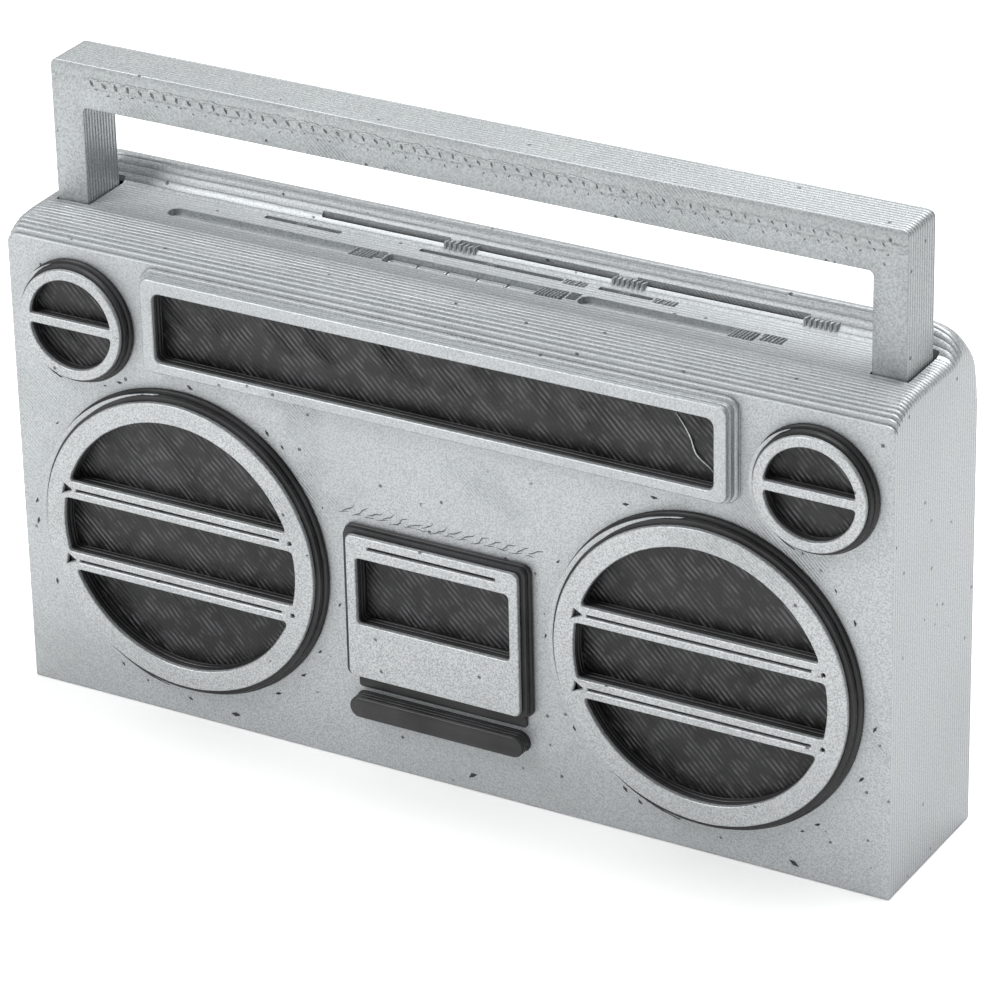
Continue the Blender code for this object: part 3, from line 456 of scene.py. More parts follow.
def slab(loops, rows):
    """Points and faces of a closed slab. The first loop is its outline and the others are holes. Each
    row is (y, how far the outline is drawn in, how far the holes are opened), from front to back."""
    loops = [loops[0]] + [list(reversed(hole)) for hole in loops[1:]]
    points, faces, starts = [], [], []
    for number, loop in enumerate(loops):
        count = len(loop)
        starts.append(len(points))
        for y, outer, hole in rows:
            drawn = inset(loop, hole if number else outer)
            points += [(x, y, z) for x, z in drawn]
        base = starts[-1]
        for row in range(len(rows) - 1):
            for i in range(count):
                a, b = base + row * count + i, base + row * count + (i + 1) % count
                faces.append((a, a + count, b + count, b))
    for row, flip in ((0, False), (len(rows) - 1, True)):
        ring = [points[start + row * len(loop):start + (row + 1) * len(loop)]
                for start, loop in zip(starts, loops)]
        index = [start + row * len(loop) + i for start, loop in zip(starts, loops) for i in range(len(loop))]
        flat = [[Vector((x, z, 0)) for x, _, z in loop] for loop in ring]
        for triangle in tessellate_polygon(flat):
            a, b, c = (index[i] for i in triangle)
            pa, pb, pc = (Vector(points[i]) for i in (a, b, c))
            forward = (pb - pa).cross(pc - pa).y < 0
            faces.append((a, b, c) if forward != flip else (a, c, b))
    return points, faces


def flipped(faces):
    return [tuple(reversed(face)) for face in faces]


def upright(shape):
    """A slab stood up: what ran from front to back runs from bottom to top."""
    return [(x, z, y) for x, y, z in shape[0]], flipped(shape[1])


def merged(*parts):
    """Several (points, faces) as one."""
    points, faces = [], []
    for more_points, more_faces in parts:
        base = len(points)
        points += more_points
        faces += [tuple(i + base for i in face) for face in more_faces]
    return points, faces


def ridged(front, back, grow=0.0, hole_grow=0.0, edge=0.5 * MM, groove=0.32 * MM):
    """Rows for slab: one rounded ridge for each layer, with a softened front edge. The outline grows and
    the holes shrink by these amounts from front to back."""
    joints = [FRONT + LAYER * k for k in range(-12, 60)]
    inner = [y for y in joints if front + 0.45 * LAYER < y < back - 0.3 * LAYER]
    ends = [front] + inner + [back]
    rows = []
    for number, (start, end) in enumerate(zip(ends, ends[1:])):
        deep = edge if number == 0 else groove
        share = ((start + end) / 2 - front) / (back - front)
        for part, draw in ((0.0, deep), (0.14, deep * 0.3), (0.32, 0.0), (0.72, 0.0), (0.93, groove * 0.6)):
            y = start + (end - start) * part
            rows.append((y, draw - grow * share, draw - hole_grow * share))
    rows.append((back, groove - grow, groove - hole_grow))
    return rows


def wobble(shape, amount=0.14 * MM, scale=90.0):
    """Uneven surfaces, as on any moulded or built-up piece."""
    points, faces = shape
    moved = []
    for point in points:
        shift = noise.noise_vector(Vector(point) * scale) * amount
        moved.append((point[0] + shift.x, point[1], point[2] + shift.z))
    return moved, faces


def carve(obj, cutters, operation="DIFFERENCE"):
    """The object with the cutters taken from it or joined to it, as a plain mesh."""
    for cutter in cutters:
        boolean = obj.modifiers.new("carve", "BOOLEAN")
        boolean.operation = operation
        boolean.solver = "EXACT"
        boolean.object = cutter
    evaluated = obj.evaluated_get(bpy.context.evaluated_depsgraph_get())
    mesh = bpy.data.meshes.new_from_object(evaluated)
    for cutter in cutters:
        bpy.data.objects.remove(cutter, do_unlink=True)
    obj.modifiers.clear()
    obj.data = mesh
    return obj


def helper(shape):
    """A shape as an object, for carving."""
    mesh = bpy.data.meshes.new("helper")
    mesh.from_pydata(shape[0], [], shape[1])
    mesh.validate()
    return in_scene("helper", mesh)


def prism(loop, low, high, axis="Y"):
    """A straight prism along Y, or along Z with its outline in (x, y), or along X in (y, z)."""
    shape = slab([loop], [(low, 0, 0), (high, 0, 0)])
    if axis == "Z":
        return upright(shape)
    if axis == "X":
        return [(y, x, z) for x, y, z in shape[0]], flipped(shape[1])
    return shape


# Cabinet

def top_height(y):
    """Height of the smooth top at a depth."""
    depth = y - FRONT
    if depth < SWEEP:
        share = 1 - max(depth, 0.0) / SWEEP
        return FRONT_EDGE + (TOP_FLAT - FRONT_EDGE) * math.sqrt(1 - share * share)
    if y < RAIL_FOOT:
        return TOP_FLAT
    if y < RAIL_CREST:
        share = (y - RAIL_FOOT) / (RAIL_CREST - RAIL_FOOT)
        return TOP_FLAT + (TOP_RAIL - TOP_FLAT) * share * share * (3 - 2 * share)
    share = min(1.0, (y - RAIL_CREST) / (BACK - RAIL_CREST))
    return BACK_EDGE + (TOP_RAIL - BACK_EDGE) * math.sqrt(1 - share * share)


def ridged_profile():
    """The cabinet's side outline in (y, z), with one step or ridge for each layer of its top."""
    points = [(FRONT, 0.0), (FRONT, FRONT_EDGE - 4 * MM), (FRONT, FRONT_EDGE + 0.5 * MM)]
    for k in range(round((RAIL_CREST - FRONT) / LAYER)):
        start, end = FRONT + LAYER * k, FRONT + LAYER * (k + 1)
        stepped = start - FRONT < SWEEP
        lift = 0.10 * MM * uneven(k * 3.7, 0, 0) - 0.1 * MM
        for part, drop in ((0.06, 0.45), (0.22, 0.10), (0.5, 0.0), (0.8, 0.08), (0.97, 0.40)):
            y = start + (end - start) * part
            height = top_height((start + end) / 2 + 0.2 * MM) if stepped else top_height(y)
            depth = drop * MM * (1.0 if stepped else 0.35)
            points.append((y, min(height, TOP_RAIL) + lift - depth))
    turns = 40
    for i in range(1, turns + 1):
        angle = math.pi / 2 * i / turns
        groove = 0.3 * MM * abs(math.sin(math.pi * i / 4)) if i < turns else 0.0
        points.append((RAIL_CREST + (BACK - RAIL_CREST - groove) * math.sin(angle),
                       BACK_EDGE + (TOP_RAIL - 0.2 * MM - groove - BACK_EDGE) * math.cos(angle)))
    points.append((BACK, 0.0))
    return points


def inner_profile(highest):
    """The hollow's outline in (y, z). It is open at the back below the rear edge."""
    points = [(FRONT + WALL, WALL)]
    for i in range(41):
        y = FRONT + WALL + (BACK - FRONT - 2 * WALL) * i / 40
        points.append((y, min(top_height(y), highest) - WALL - 1.2 * MM))
    points += [(BACK - WALL, BACK_EDGE - WALL), (BACK + 20 * MM, BACK_EDGE - WALL), (BACK + 20 * MM, WALL)]
    return list(reversed(points))


def end_drop(x, y, z):
    """How far the top is let down towards the cabinet's ends, and more at the rear."""
    reach = min(x - LEFT, RIGHT - x)
    fade = max(0.0, 1 - reach / RAIL_FADE)
    rail = max(0.0, z - TOP_FLAT + 3 * MM) * fade * fade * 0.6
    rear = min(1.0, max(0.0, (y - RAIL_FOOT) / (BACK - RAIL_FOOT)))
    size = END_ROUND * (1 + 1.6 * rear)
    if reach >= size:
        return rail
    over = 1 - reach / size
    return rail + size * 0.8 * (1 - math.sqrt(max(0.0, 1 - over * over)))


def cabinet_block():
    profile = ridged_profile()
    reach = [0.0, 0.25, 0.8, 1.7, 3.0, 4.6, 6.5, 9.0, 13.0, 18.0, 24.0, 30.0]
    stations = [LEFT + d * MM for d in reach]
    stations += [LEFT + (RIGHT - LEFT) * i / 24 for i in range(2, 23)]
    stations += [RIGHT - d * MM for d in reversed(reach)]
    points, faces = [], []
    for x in stations:
        for y, z in profile:
            share = min(1.0, max(0.0, (z - 262 * MM) / (30 * MM)))
            sway = 0.12 * MM * uneven(x * 30, y * 400, z * 400) if z > FRONT_EDGE else 0.0
            points.append((x, y, z - end_drop(x, y, z) * share + sway))
    count = len(profile)
    for row in range(len(stations) - 1):
        for i in range(count):
            a, b = row * count + i, row * count + (i + 1) % count
            faces.append((a, b, b + count, a + count))
    faces.append(tuple(reversed(range(count))))
    faces.append(tuple(range(len(points) - count, len(points))))
    return points, flipped(faces)


def disc(node):
    """The centre and radius of a round node, seen from the front."""
    low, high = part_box(node)
    return (low.x + high.x) / 2, (low.z + high.z) / 2, (high.x - low.x) / 2


def front_cutters():
    """Every way through the front wall."""
    reach = (FRONT - 5 * MM, FRONT + WALL + 3 * MM)
    shapes = []
    for side in ("left", "right"):
        for kind in ("woofer", "tweeter"):
            x, z, radius = disc(f"{kind}_grille_{side}")
            shapes.append(prism(circle(x, z, radius + GAP), *reach))
    low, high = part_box("tuner_window")
    shapes.append(prism(rect(low.x - GAP, high.x + GAP, low.z - GAP, high.z + GAP, 4 * MM), *reach))
    shapes.append(prism(rect(*DOOR_WAY, 2 * MM), *reach))
    low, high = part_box("eject_bar")
    shapes.append(prism(rect(low.x - GAP, high.x + GAP, low.z + 3 * MM - GAP, high.z - 3 * MM + GAP, 7 * MM),
                        *reach))
    return shapes


def rib_beds():
    """The shallow beds, as (left, right, front, back), past the right ends of the trenches and of the
    second and third slits."""
    middle = (TRENCH_FRONT + TRENCH_BACK) / 2
    beds = [(right + 2 * MM, right + 17 * MM, middle - 3 * MM, TRENCH_BACK + 1 * MM)
            for _, right in (*SLIDER_TRENCHES, KEY_TRENCH)]
    beds[0] = (beds[0][0] - 2 * MM, min(beds[0][1], KEY_TRENCH[0] - 1 * MM), *beds[0][2:])
    beds[2] = (beds[2][0] - 1 * MM, min(beds[2][1], SLIDER_TRENCHES[1][0] - 1 * MM), *beds[2][2:])
    beds += [(right + 1 * MM, right + 16 * MM, SLIT_Y - 4 * MM, SLIT_Y + 3 * MM) for _, right in SLITS[1:]]
    return beds


def trench_outline(left, right, turn=5.4 * MM):
    """A trench with a round left end and a nearly square right one."""
    rounded = rect(left, right, TRENCH_FRONT, TRENCH_BACK, turn)
    square = rect((left + right) / 2, right, TRENCH_FRONT, TRENCH_BACK, 1.2 * MM)
    half = len(rounded) // 2
    return square[:half] + rounded[half:]


def top_cutters():
    """The handle's slots, the trenches, the slits and the vents in the top."""
    above, below = TOP_RAIL + 5 * MM, TOP_FLAT - 14 * MM
    shapes = []

    def cut(outline, floor=below):
        shapes.append(prism(outline, floor, above, "Z"))

    low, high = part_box("handle")
    play = 1 * MM
    for outer, inner in ((low.x - play, low.x + LEG + play), (high.x - LEG - play, high.x + play)):
        cut(rect(outer, inner, low.y - play, high.y + 6 * MM, 1 * MM))
    cut(trench_outline(*KEY_TRENCH, 2.5 * MM))
    middle = (TRENCH_FRONT + TRENCH_BACK) / 2
    for left, right in SLIDER_TRENCHES:
        cut(rect(left + 2 * MM, right - 2 * MM, middle - 1.6 * MM, middle + 1.6 * MM))
        cut(trench_outline(left, right), TRENCH_FLOOR)
    for bed in rib_beds():
        cut(rect(*bed, 1 * MM), TOP_FLAT - 1.8 * MM)
    for left, right in SLITS:
        cut(rect(left, right, SLIT_Y - SLIT_HALF, SLIT_Y + SLIT_HALF, 1.4 * MM))
    for left, right in VENTS:
        cut(rect(left, right, VENT_Y - 1.2 * MM, VENT_Y + 1.2 * MM, 1.0 * MM))
    return shapes


def make_cabinet():
    shell = helper(cabinet_block())
    for highest, reach in ((TOP_FLAT, WALL), (TOP_RAIL, WALL + RAIL_FADE)):
        hollow = prism(inner_profile(highest), LEFT + reach, RIGHT - reach, "X")
        carve(shell, [helper(hollow)])
    channels = []
    for left, right in SLIDER_TRENCHES:
        outline = rect(left - 3 * MM, right + 3 * MM, TRENCH_FRONT - 3 * MM, TRENCH_BACK + 3 * MM)
        channels.append(helper(prism(outline, TRENCH_FLOOR - 2.5 * MM, TOP_FLAT - WALL + 0.5 * MM, "Z")))
    carve(shell, channels, "UNION")
    carve(shell, [helper(shape) for shape in front_cutters() + top_cutters()])
    mesh = shell.data
    bpy.data.objects.remove(shell, do_unlink=True)
    return settle(mesh, "cabinet_shell", SILVER, "root", ["front_cabinet"], 32.0)


# Loudspeakers

def bar_marks(x, level):
    """Along a double bar: its groove, a wedge at the groove's left end and a pin at its right end."""
    return [rect(x - 74 * MM, x + 73 * MM, level - 0.8 * MM, level + 0.8 * MM),
            [(x - 84 * MM, level - 3.2 * MM), (x - 77.5 * MM, level - 0.4 * MM),
             (x - 77.5 * MM, level + 0.4 * MM), (x - 82.5 * MM, level + 3.4 * MM)],
            circle(x + 81 * MM, level - 0.5 * MM, 1.3 * MM, 8)]


def make_crescent(name, outline, front, soft):
    """A thin silver arc just in front of a base, its front edge drawn in by soft."""
    rows = [(front - 0.32 * MM, soft, 0), (front - 0.1 * MM, 0, 0), (front + 1 * MM, 0, 0)]
    finish_piece(name, *wobble(slab([outline], rows)), SILVER, "root")


def make_woofer(side):
    x, z, radius = disc(f"woofer_ring_{side}")
    inner, outer = BAR_OFFSET - BAR_HEIGHT / 2, BAR_OFFSET + BAR_HEIGHT / 2
    bands = ((outer - BAR_DROP, WOOFER_OPEN), (-inner - BAR_DROP, inner - BAR_DROP),
             (-WOOFER_OPEN, -outer - BAR_DROP))
    openings = [chord_band(x, z, WOOFER_OPEN, *band) for band in bands]
    grooves = bar_marks(x, z + BAR_OFFSET - BAR_DROP) + bar_marks(x, z - BAR_OFFSET - BAR_DROP)
    ring_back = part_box(f"woofer_ring_{side}")[1].y
    ring = slab([circle(x, z, radius)] + openings + grooves, ridged(FACE, ring_back, **CRISP))
    finish_piece(f"woofer_front_{side}", *wobble(ring), RING_SILVER, "root", [f"woofer_ring_{side}"])

    low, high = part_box(f"woofer_drum_{side}")
    base, hole = disc(f"woofer_drum_{side}")[2], disc(f"woofer_grille_{side}")[2]
    neck = radius + 2.5 * MM
    rim = slab([circle(x, z, neck), circle(x, z, 90 * MM)],
               ridged(low.y, high.y, grow=base - neck, groove=0.5 * MM))
    core = slab([circle(x, z, hole)] + openings, ridged(low.y, FLOOR - PANEL_LIFT, groove=0.4 * MM))
    finish_piece(f"woofer_base_{side}", *wobble(merged(rim, core)), BLACK, "root", [f"woofer_drum_{side}"],
                 "black")
    arc = arc_band(x, z, radius + 1.8 * MM, base - 1.9 * MM, 96, 262)
    make_crescent(f"woofer_rim_{side}", arc, low.y, 0.5 * MM)
    streak_panel(f"woofer_panel_{side}", circle_chord(x, z, hole), FLOOR, [f"woofer_grille_{side}"], "root")


def make_tweeter(side):
    x, z, radius = disc(f"tweeter_ring_{side}")
    half = TWEETER_BAR / 2
    openings = [chord_band(x, z, TWEETER_OPEN, half, TWEETER_OPEN, 2.4 * MM, 16),
                chord_band(x, z, TWEETER_OPEN, -TWEETER_OPEN, -half, 2.4 * MM, 16)]
    ring_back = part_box(f"tweeter_ring_{side}")[1].y
    ring = slab([circle(x, z, radius, 64)] + openings, ridged(FACE, ring_back, **CRISP))
    finish_piece(f"tweeter_front_{side}", *wobble(ring), RING_SILVER, "root", [f"tweeter_ring_{side}"])

    low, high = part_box(f"tweeter_drum_{side}")
    base, hole = disc(f"tweeter_drum_{side}")[2], disc(f"tweeter_grille_{side}")[2]
    neck = radius + 1.5 * MM
    rim = slab([circle(x, z, neck, 64), circle(x, z, 33 * MM, 64)],
               ridged(low.y, high.y, grow=base - neck, groove=0.5 * MM))
    arc = arc_band(x, z, radius + 1.2 * MM, base - 1.3 * MM, 110, 255, 30)
    make_crescent(f"tweeter_rim_{side}", arc, low.y, 0.4 * MM)
    grille_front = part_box(f"tweeter_grille_{side}")[0].y
    core = slab([circle(x, z, hole, 64)] + openings,
                ridged(low.y, grille_front - PANEL_LIFT, groove=0.4 * MM))
    finish_piece(f"tweeter_base_{side}", *wobble(merged(rim, core)), BLACK, "root",
                 [f"tweeter_drum_{side}"], "black")
    streak_panel(f"tweeter_panel_{side}", circle_chord(x, z, hole), grille_front,
                 [f"tweeter_grille_{side}"], "root")


# Dark panels with slanting streaks

def circle_chord(x, z, radius):
    """A function that gives a streak's start and end, along itself, for its level across the streaks, or
    with no level the first and last one."""
    middle, along = (x + z) / math.sqrt(2), (x - z) / math.sqrt(2)

    def ends(level=None):
        if level is None:
            return middle - radius, middle + radius
        half = math.sqrt(max(0.0, radius ** 2 - (level - middle) ** 2))
        return along - half, along + half
    return ends


def rect_chord(left, right, low, high):
    """The same for a rectangle."""
    def ends(level=None):
        if level is None:
            return (left + low) / math.sqrt(2), (right + high) / math.sqrt(2)
        total = level * math.sqrt(2)
        first, last = max(left, total - high), min(right, total - low)
        return (2 * first - total) / math.sqrt(2), (2 * last - total) / math.sqrt(2)
    return ends


def streak_height(u, v, bold):
    """How far a streak stands forward at a place across (u) and along (v) the streaks."""
    sway = 1.1 * MM * uneven(u * 60, v * 25, 0)
    crest = abs(math.sin(math.pi * (u + sway) / STREAK)) ** 0.6
    strength = 0.55 + 1.2 * max(-0.3, uneven(u * 70, v * 16, 5.0))
    return STREAK_DEPTH * crest * strength * bold(u, v)


def streak_panel(name, ends, front, stands_for, body, bold=lambda u, v: 1.0):
    """A dark panel whose streaks run from upper left to lower right, inside a given outline."""
    first, last = ends()
    count = int((last - first) / (STREAK / 4))
    along = 26
    points = []
    for i in range(count + 1):
        u = first + (last - first) * (0.0005 + 0.999 * i / count)
        start, end = ends(u)
        for j in range(along + 1):
            v = start + (end - start) * j / along
            y = front - PANEL_LIFT + STREAK_DEPTH * 1.6 - streak_height(u, v, bold)
            points.append(((u + v) / math.sqrt(2), y, (u - v) / math.sqrt(2)))
    across = along + 1
    total = len(points)
    points += [(x, front + PANEL_THICK, z) for x, _, z in points]
    faces = []
    for i in range(count):
        for j in range(along):
            a = i * across + j
            faces.append((a, a + 1, a + across + 1, a + across))
            faces.append((a + total, a + across + total, a + across + 1 + total, a + 1 + total))
    rim = ([j for j in range(across)] + [i * across + along for i in range(1, count + 1)]
           + [count * across + j for j in range(along - 1, -1, -1)]
           + [i * across for i in range(count - 1, 0, -1)])
    for a, b in zip(rim, rim[1:] + rim[:1]):
        faces.append((b, a, a + total, b + total))
    finish_piece(name, points, faces, PANEL, body, stands_for, "dark_panel", 60.0)


# Tuner

def grown(box, amount):
    left, right, low, high = box
    return left - amount, right + amount, low - amount, high + amount


def make_tuner():
    low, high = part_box("tuner_frame")
    face = rect(low.x + 5 * MM, high.x - 5 * MM, low.z + 1.5 * MM, high.z - 1.5 * MM, 5 * MM)
    opening = rect(*TUNER_OPEN, 5 * MM)
    split = FACE + 3.2 * MM
    front = slab([face, opening], ridged(FACE, split, edge=0.8 * MM, groove=0.2 * MM, grow=1.2 * MM))
    body = slab([rect(low.x + 3.8 * MM, high.x - 3.8 * MM, low.z + 1.2 * MM, high.z - 1.2 * MM, 5 * MM),
                 rect(*grown(TUNER_OPEN, 2.2 * MM), 5 * MM)],
                ridged(split - 0.2 * MM, high.y, grow=3.8 * MM, groove=0.55 * MM, edge=0.4 * MM))
    finish_piece("tuner_bezel", *wobble(merged(front, body)), SILVER, "root", ["tuner_frame"])
    lining = slab([rect(*grown(TUNER_OPEN, 2.0 * MM), 5 * MM), opening],
                  ridged(split + 0.2 * MM, FLOOR - PANEL_LIFT, groove=0.4 * MM))
    finish_piece("tuner_lining", *wobble(lining), BLACK, "root", (), "black")
    window_low, window_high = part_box("tuner_window")
    streak_panel("tuner_panel", rect_chord(window_low.x, window_high.x, window_low.z, window_high.z), FLOOR,
                 ["tuner_window"], "root", tuner_streaks)
    hair = sliver(173 * MM, 269 * MM, 44 * MM, 0.7 * MM, -56, 3, 16)
    marks("tuner_thread", [hair], FLOOR - PANEL_LIFT, RING_SILVER, "root", "silver", 0.3 * MM)


def tuner_streaks(u, v):
    """The upper left of the tuner's panel is the roughest and its right end the smoothest."""
    x, z = (u + v) / math.sqrt(2), (u - v) / math.sqrt(2)
    across = min(1.0, max(0.0, (x - TUNER_OPEN[0]) / (TUNER_OPEN[1] - TUNER_OPEN[0])))
    level = (z - TUNER_OPEN[2]) / (TUNER_OPEN[3] - TUNER_OPEN[2])
    edge = 0.42 - 0.15 * across
    upper = min(1.0, max(0.0, (level - edge) / 0.08))
    return 0.35 + 1.5 * upper * (1 - 0.75 * across) + 0.35 * across


# Cassette door and eject bar

def make_door():
    low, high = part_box("door_frame")
    plate = slab([rect(low.x, high.x, low.z, high.z, 4 * MM), rect(*DOOR_WINDOW, 3 * MM),
                  rect(*DOOR_SLIT, 0.8 * MM, 3)],
                 ridged(FACE, NECK - GAP, **CRISP))
    finish_piece("door_front", *wobble(plate), RING_SILVER, "cassette_door", ["door_frame"])
    throat = slab([rect(*grown(DOOR_WINDOW, 2.5 * MM), 3 * MM), rect(*DOOR_WINDOW, 3 * MM)],
                  ridged(NECK - GAP - 0.1 * MM, FLOOR - 0.1 * MM, groove=0.35 * MM))
    knuckles = [prism(rect(x - 4 * MM, x + 4 * MM, 70.4 * MM, 80 * MM), NECK - GAP - 0.1 * MM, FRONT + 9 * MM)
                for x in (-52 * MM, 52 * MM)]
    finish_piece("door_throat", *merged(throat, *knuckles), BLACK, "cassette_door", (), "black")
    low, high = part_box("door_window")
    streak_panel("door_panel", rect_chord(low.x, high.x, low.z, high.z), low.y, ["door_window"],
                 "cassette_door", lambda u, v: 0.8)
    low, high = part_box("door_surround")
    surround = slab([rect(low.x + 3 * MM, high.x - 3 * MM, low.z + 1.6 * MM, high.z - 1.9 * MM, 4 * MM),
                     rect(*DOOR_WAY, 2 * MM)], ridged(low.y, high.y, grow=2.4 * MM, groove=0.5 * MM))
    finish_piece("door_base", *wobble(surround), BLACK, "root", ["door_surround"], "black")


def make_eject_bar():
    low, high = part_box("eject_bar")
    pill = rect(low.x, high.x, low.z + 3 * MM, high.z - 3 * MM, 6.9 * MM, 8)
    bar = slab([pill], ridged(low.y, high.y, edge=1.3 * MM, groove=0.3 * MM))
    flange = prism(rect(low.x + 6 * MM, high.x - 6 * MM, low.z, high.z, 1 * MM),
                   FRONT + 3.6 * MM, FRONT + 5.6 * MM)
    finish_piece("eject_pill", *merged(wobble(bar), flange), BLACK, "eject_bar", ["eject_bar"], "black")
    sill_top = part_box("door_surround")[0].z - 0.5 * MM
    sill = slab([rect(low.x + 3 * MM, high.x - 1 * MM, high.z + 0.8 * MM, sill_top, 2 * MM)],
                ridged(FRONT - 2.4 * MM, FRONT + 0.4 * MM, edge=0.8 * MM))
    finish_piece("door_sill", *wobble(sill), BLACK, "root", (), "black")


# Handle, keys and sliders

def make_handle():
    low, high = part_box("handle")
    left, right, top = low.x + MARGIN, high.x - MARGIN, high.z - MARGIN
    outline = [(left, low.z), (low.x + LEG, low.z), (low.x + LEG, BAR_UNDER), (high.x - LEG, BAR_UNDER),
               (high.x - LEG, low.z), (right, low.z), (right, top), (left, top)]
    foot, inner, outer = 1.0 * MM, 3.4 * MM, 5.5 * MM
    outline = round_corners(outline, [foot, foot, inner, inner, foot, foot, outer, outer], 5)
    shape = slab([outline], ridged(low.y, high.y, edge=0.9 * MM, groove=0.28 * MM))
    finish_piece("carrying_handle", *wobble(shape, 0.2 * MM, 45.0), HANDLE_SILVER, "handle", ["handle"])


def key_shape(low, high, edge=0.7 * MM, dish=0.0):
    """An upright block with softened edges and a hollowed top."""
    rows = [(low.z, 0, 0), (high.z - edge, 0, 0), (high.z - edge * 0.3, edge * 0.3, 0), (high.z, edge, 0),
            (high.z - dish, edge + 1.2 * MM, 0)]
    return upright(slab([rect(low.x, high.x, low.y, high.y, 0.8 * MM, 3)], rows))


def make_keys():
    for name in ("record", "play", "rewind", "forward", "stop", "pause"):
        low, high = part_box(f"{name}_key")
        shape = wobble(key_shape(low, high, dish=0.5 * MM))
        if name == "pause":
            bed = (low.x, high.x, low.y, high.y)
            shape = merged(shape, ribs_between(bed, 1 * MM, TOP_FLAT + FLUSH, 8))
        finish_piece(f"{name}_button", *shape, SILVER, f"{name}_key", [f"{name}_key"], "keys")


def ribs_between(bed, margin, top, count, drop=5.0 * MM):
    """Upright ribs slanting from front left to back right, with uneven tops, inside a bed given as
    (left, right, front, back)."""
    left, right, front, back = bed[0] + margin, bed[1] - margin, bed[2] + margin, bed[3] - margin
    shapes = []
    pitch = (right - left) / count
    for number in range(count):
        x = left + pitch * (number + 0.5)
        tall = top - 0.9 * MM * abs(uneven(number * 2.3, left * 900, 0.5))
        outline = [(x - pitch * 0.5, front), (x - pitch * 0.02, front), (x + pitch * 0.5, back),
                   (x + pitch * 0.02, back)]
        rows = [(top - drop, 0, 0), (tall - 0.8 * MM, 0, 0), (tall, 0.3 * MM, 0)]
        shapes.append(upright(slab([outline], rows)))
    return merged(*shapes)


def grip(low, high, ribs):
    """A thumb piece: a low plate that carries slanting ribs."""
    plate = key_shape(low, Vector((high.x, high.y, low.z + 1.8 * MM)), 0.4 * MM)
    bed = (low.x, high.x, low.y, high.y)
    return merged(plate, ribs_between(bed, 0.2 * MM, high.z, ribs, high.z - low.z - 1 * MM))


def make_sliders():
    for name, ribs in (("volume", 7), ("tuning", 7), ("tone", 4), ("balance", 4), ("band", 4)):
        node = f"{name}_slider"
        low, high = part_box(node)
        middle, x = (low.y + high.y) / 2, (low.x + high.x) / 2
        wide = name in ("volume", "tuning")
        half = 5.6 * MM if wide else SLIT_HALF - GAP
        x_half = 8.0 * MM if wide else 4.0 * MM
        top = Vector((x - x_half, middle - half, TRENCH_FLOOR + GAP))
        shape = grip(top, Vector((x + x_half, middle + half, TOP_FLAT + FLUSH)), ribs)
        stem = prism(rect(x - 3 * MM, x + 3 * MM, middle - 1.2 * MM, middle + 1.2 * MM), low.z + 1 * MM,
                     TRENCH_FLOOR + 1 * MM, "Z")
        foot = prism(rect(low.x, high.x, low.y + 0.2 * MM, high.y - 0.2 * MM), low.z, low.z + 2.6 * MM, "Z")
        finish_piece(f"{name}_thumb", *merged(shape, stem, foot), SILVER, node, [node], "keys")


# Marks of making: chips, and scratches and pits drawn dark as painted shade

def marks(name, outlines, front, material, body, slot, depth=0.22 * MM):
    """Thin flat marks that stand a little in front of the face at the given depth."""
    shapes = [slab([outline], [(front - depth, 0, 0), (front + 0.4 * MM, 0, 0)]) for outline in outlines]
    finish_piece(name, *merged(*shapes), material, body, (), slot)


def make_scratches():
    """Two rows of short scratches above the cassette door, drawn in dark grey as painted shade in their
    troughs.
    """
    scratches = []
    per_row = 15
    for number in range(2 * per_row):
        row, place = divmod(number, per_row)
        x = (-62 + 9.2 * place - 4 * row) * MM
        z = (173 - 3.0 * row + 1.2 * uneven(number * 1.9, 0, 2.0)) * MM
        length = (11 - 3 * row + 4 * uneven(number * 2.7, 4.0, 0)) * MM
        slant = 30 + 7 * math.sin(number * 2.1) - 22 * row
        scratches.append(sliver(x, z, length, (0.75 - 0.3 * row) * MM, slant, number))
    # The scratches are dark marks of painted shade.
    marks("front_scratch_shade", scratches, FRONT, PIT_SHADE, "root", "silver", 0.12 * MM)


def make_chips():
    """Dark chips round the woofers and along the bottom."""
    chips = []
    around = 17
    for side in ("left", "right"):
        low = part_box(f"woofer_drum_{side}")[0]
        x, z, radius = disc(f"woofer_drum_{side}")
        for number in range(around):
            angle = math.radians(number * 360 / around + 9 * math.sin(number * 4.3 + low.x * 50))
            reach = radius + (3.5 + 4.5 * abs(math.sin(number * 2.9 + low.x * 30))) * MM
            place_x, place_z = x + reach * math.cos(angle), z + reach * math.sin(angle)
            on_door = abs(place_x) < 68 * MM and place_z < 168 * MM
            if on_door or place_z > 230 * MM or abs(place_x) > 294 * MM:
                continue
            size = (1.6 + 3.2 * abs(math.sin(number * 5.7 + low.x * 20))) * MM
            turn = math.degrees(angle) + 70
            chips.append(sliver(place_x, place_z, size, size * 0.36, turn, number + 40, 2))
    for number, (x, z) in enumerate(((-150, 9), (20, 10), (238, 8))):
        chips.append(sliver(x * MM, z * MM, 6.5 * MM, 2.6 * MM, 35 * math.sin(number * 2), number + 90, 2))
    marks("front_chips", chips, FRONT, BLACK, "root", "black")


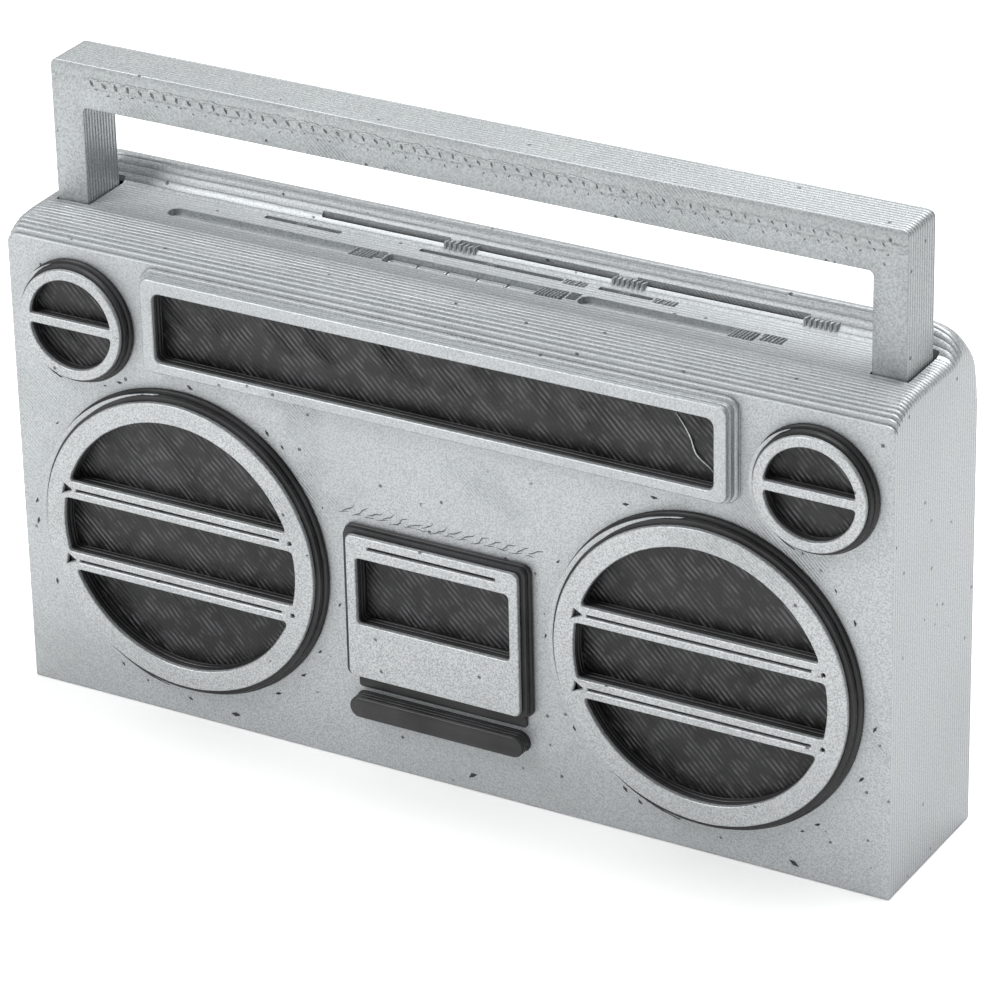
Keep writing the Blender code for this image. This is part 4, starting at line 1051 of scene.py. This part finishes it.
def make_handle_marks():
    """A rough line along the handle's bar: dents, drawn in dark grey as painted shade, that fade to the
    right, with a raised bead above them.
    """
    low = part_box("handle")[0]
    count = 62
    pits, bead = [], []
    for number in range(count):
        x = low.x + (30 + 8.7 * number) * MM
        fade = 1 - 0.45 * number / count
        z = (397.6 + 0.9 * uneven(number * 1.3, 3.0, 0)) * MM
        slant = -62 + 16 * math.sin(number * 1.7)
        pits.append(sliver(x, z, 4.6 * fade * MM, 1.7 * fade * MM, slant, number, 4))
        pits.append(sliver(x + 3 * MM, z - (3.5 + 3 * abs(math.sin(number * 2.2))) * MM, 2.2 * MM, 0.7 * MM,
                           60 * math.sin(number * 3.1), number + 100, 3))
        if number < 40:
            bead.append(sliver(x + 1.5 * MM, z + 3.1 * MM, 8.4 * MM, 0.8 * MM, 5 * math.sin(number * 2.4),
                               number + 200, 6))
    # The dents are dark marks of painted shade.
    marks("handle_pit_shade", pits, low.y, PIT_SHADE, "handle", "silver", 0.12 * MM)
    marks("handle_bead", bead, low.y, RING_SILVER, "handle", "silver", 0.4 * MM)


def make_top_ribs():
    """Slanting ribs in the shallow beds and at the right end of each vent."""
    shapes = []
    for bed in rib_beds():
        shapes.append(ribs_between(bed, 0.3 * MM, TOP_FLAT + FLUSH, 6))
    for _, right in VENTS:
        bed = (right - 3 * MM, right + 20 * MM, VENT_Y - 3.4 * MM, VENT_Y + 2.2 * MM)
        shapes.append(ribs_between(bed, 0.0, top_height(VENT_Y) + 0.6 * MM, 7))
    finish_piece("top_ribs", *wobble(merged(*shapes), 0.3 * MM, 300.0), SILVER, "root")


# What stays as it is packed gets a finish of its own

def finish_nodes():
    finishes = {"silver": SILVER, "keys": SILVER, "black": BLACK, "dark_panel": PANEL, "steel": STEEL,
                "brass": BRASS, "rubber": RUBBER, "cone": CONE, "iron": IRON, "board": BOARD, "cells": CELLS}
    slots = {part["node"]: part["material_slot"] for part in frame["record"]["subparts"]}
    for name, obj in frame["nodes"].items():
        obj.data.materials.clear()
        obj.data.materials.append(finishes[slots[name]])


# Floor, light and camera

def make_stage():
    bpy.context.scene.view_settings.view_transform = "Standard"
    bpy.ops.mesh.primitive_plane_add(size=60.0, location=(0, 0, -0.0006))
    floor = bpy.context.object
    floor.name = "floor"
    made, _, shader = blank("floor_white", 0.0, 0.1)
    shader.inputs["Base Color"].default_value = (FLOOR_TONE, FLOOR_TONE, FLOOR_TONE, 1.0)
    shader.inputs["Roughness"].default_value = 0.9
    floor.data.materials.append(made)
    world = bpy.data.worlds.new("studio")
    bpy.context.scene.world = world
    world.use_nodes = True
    background = world.node_tree.nodes["Background"]
    background.inputs["Color"].default_value = (1.0, 1.0, 1.0, 1.0)
    background.inputs["Strength"].default_value = ROOM_LIGHT
    for name, place, power, size in LAMPS:
        light = bpy.data.lights.new(name, "AREA")
        light.energy = power
        light.size = size
        lamp = in_scene(name, light)
        lamp.location = place
        aim = LAMP_AIM - Vector(place)
        lamp.rotation_mode = "QUATERNION"
        lamp.rotation_quaternion = aim.to_track_quat("-Z", "Y")


def make_camera():
    data = bpy.data.cameras.new("camera")
    data.lens = CAMERA_LENS
    data.sensor_width = 36.0
    camera = in_scene("camera", data)
    turn = Matrix((CAMERA_RIGHT, CAMERA_UP, -CAMERA_FORWARD)).transposed().to_4x4()
    camera.matrix_world = Matrix.Translation(CAMERA_PLACE) @ turn
    data.clip_start, data.clip_end = 0.1, 100.0
    bpy.context.scene.camera = camera


make_stage()
make_camera()
finish_nodes()
make_cabinet()
for label in ("left", "right"):
    make_woofer(label)
    make_tweeter(label)
make_tuner()
make_door()
make_eject_bar()
make_handle()
make_keys()
make_sliders()
make_top_ribs()
make_scratches()
make_chips()
make_handle_marks()
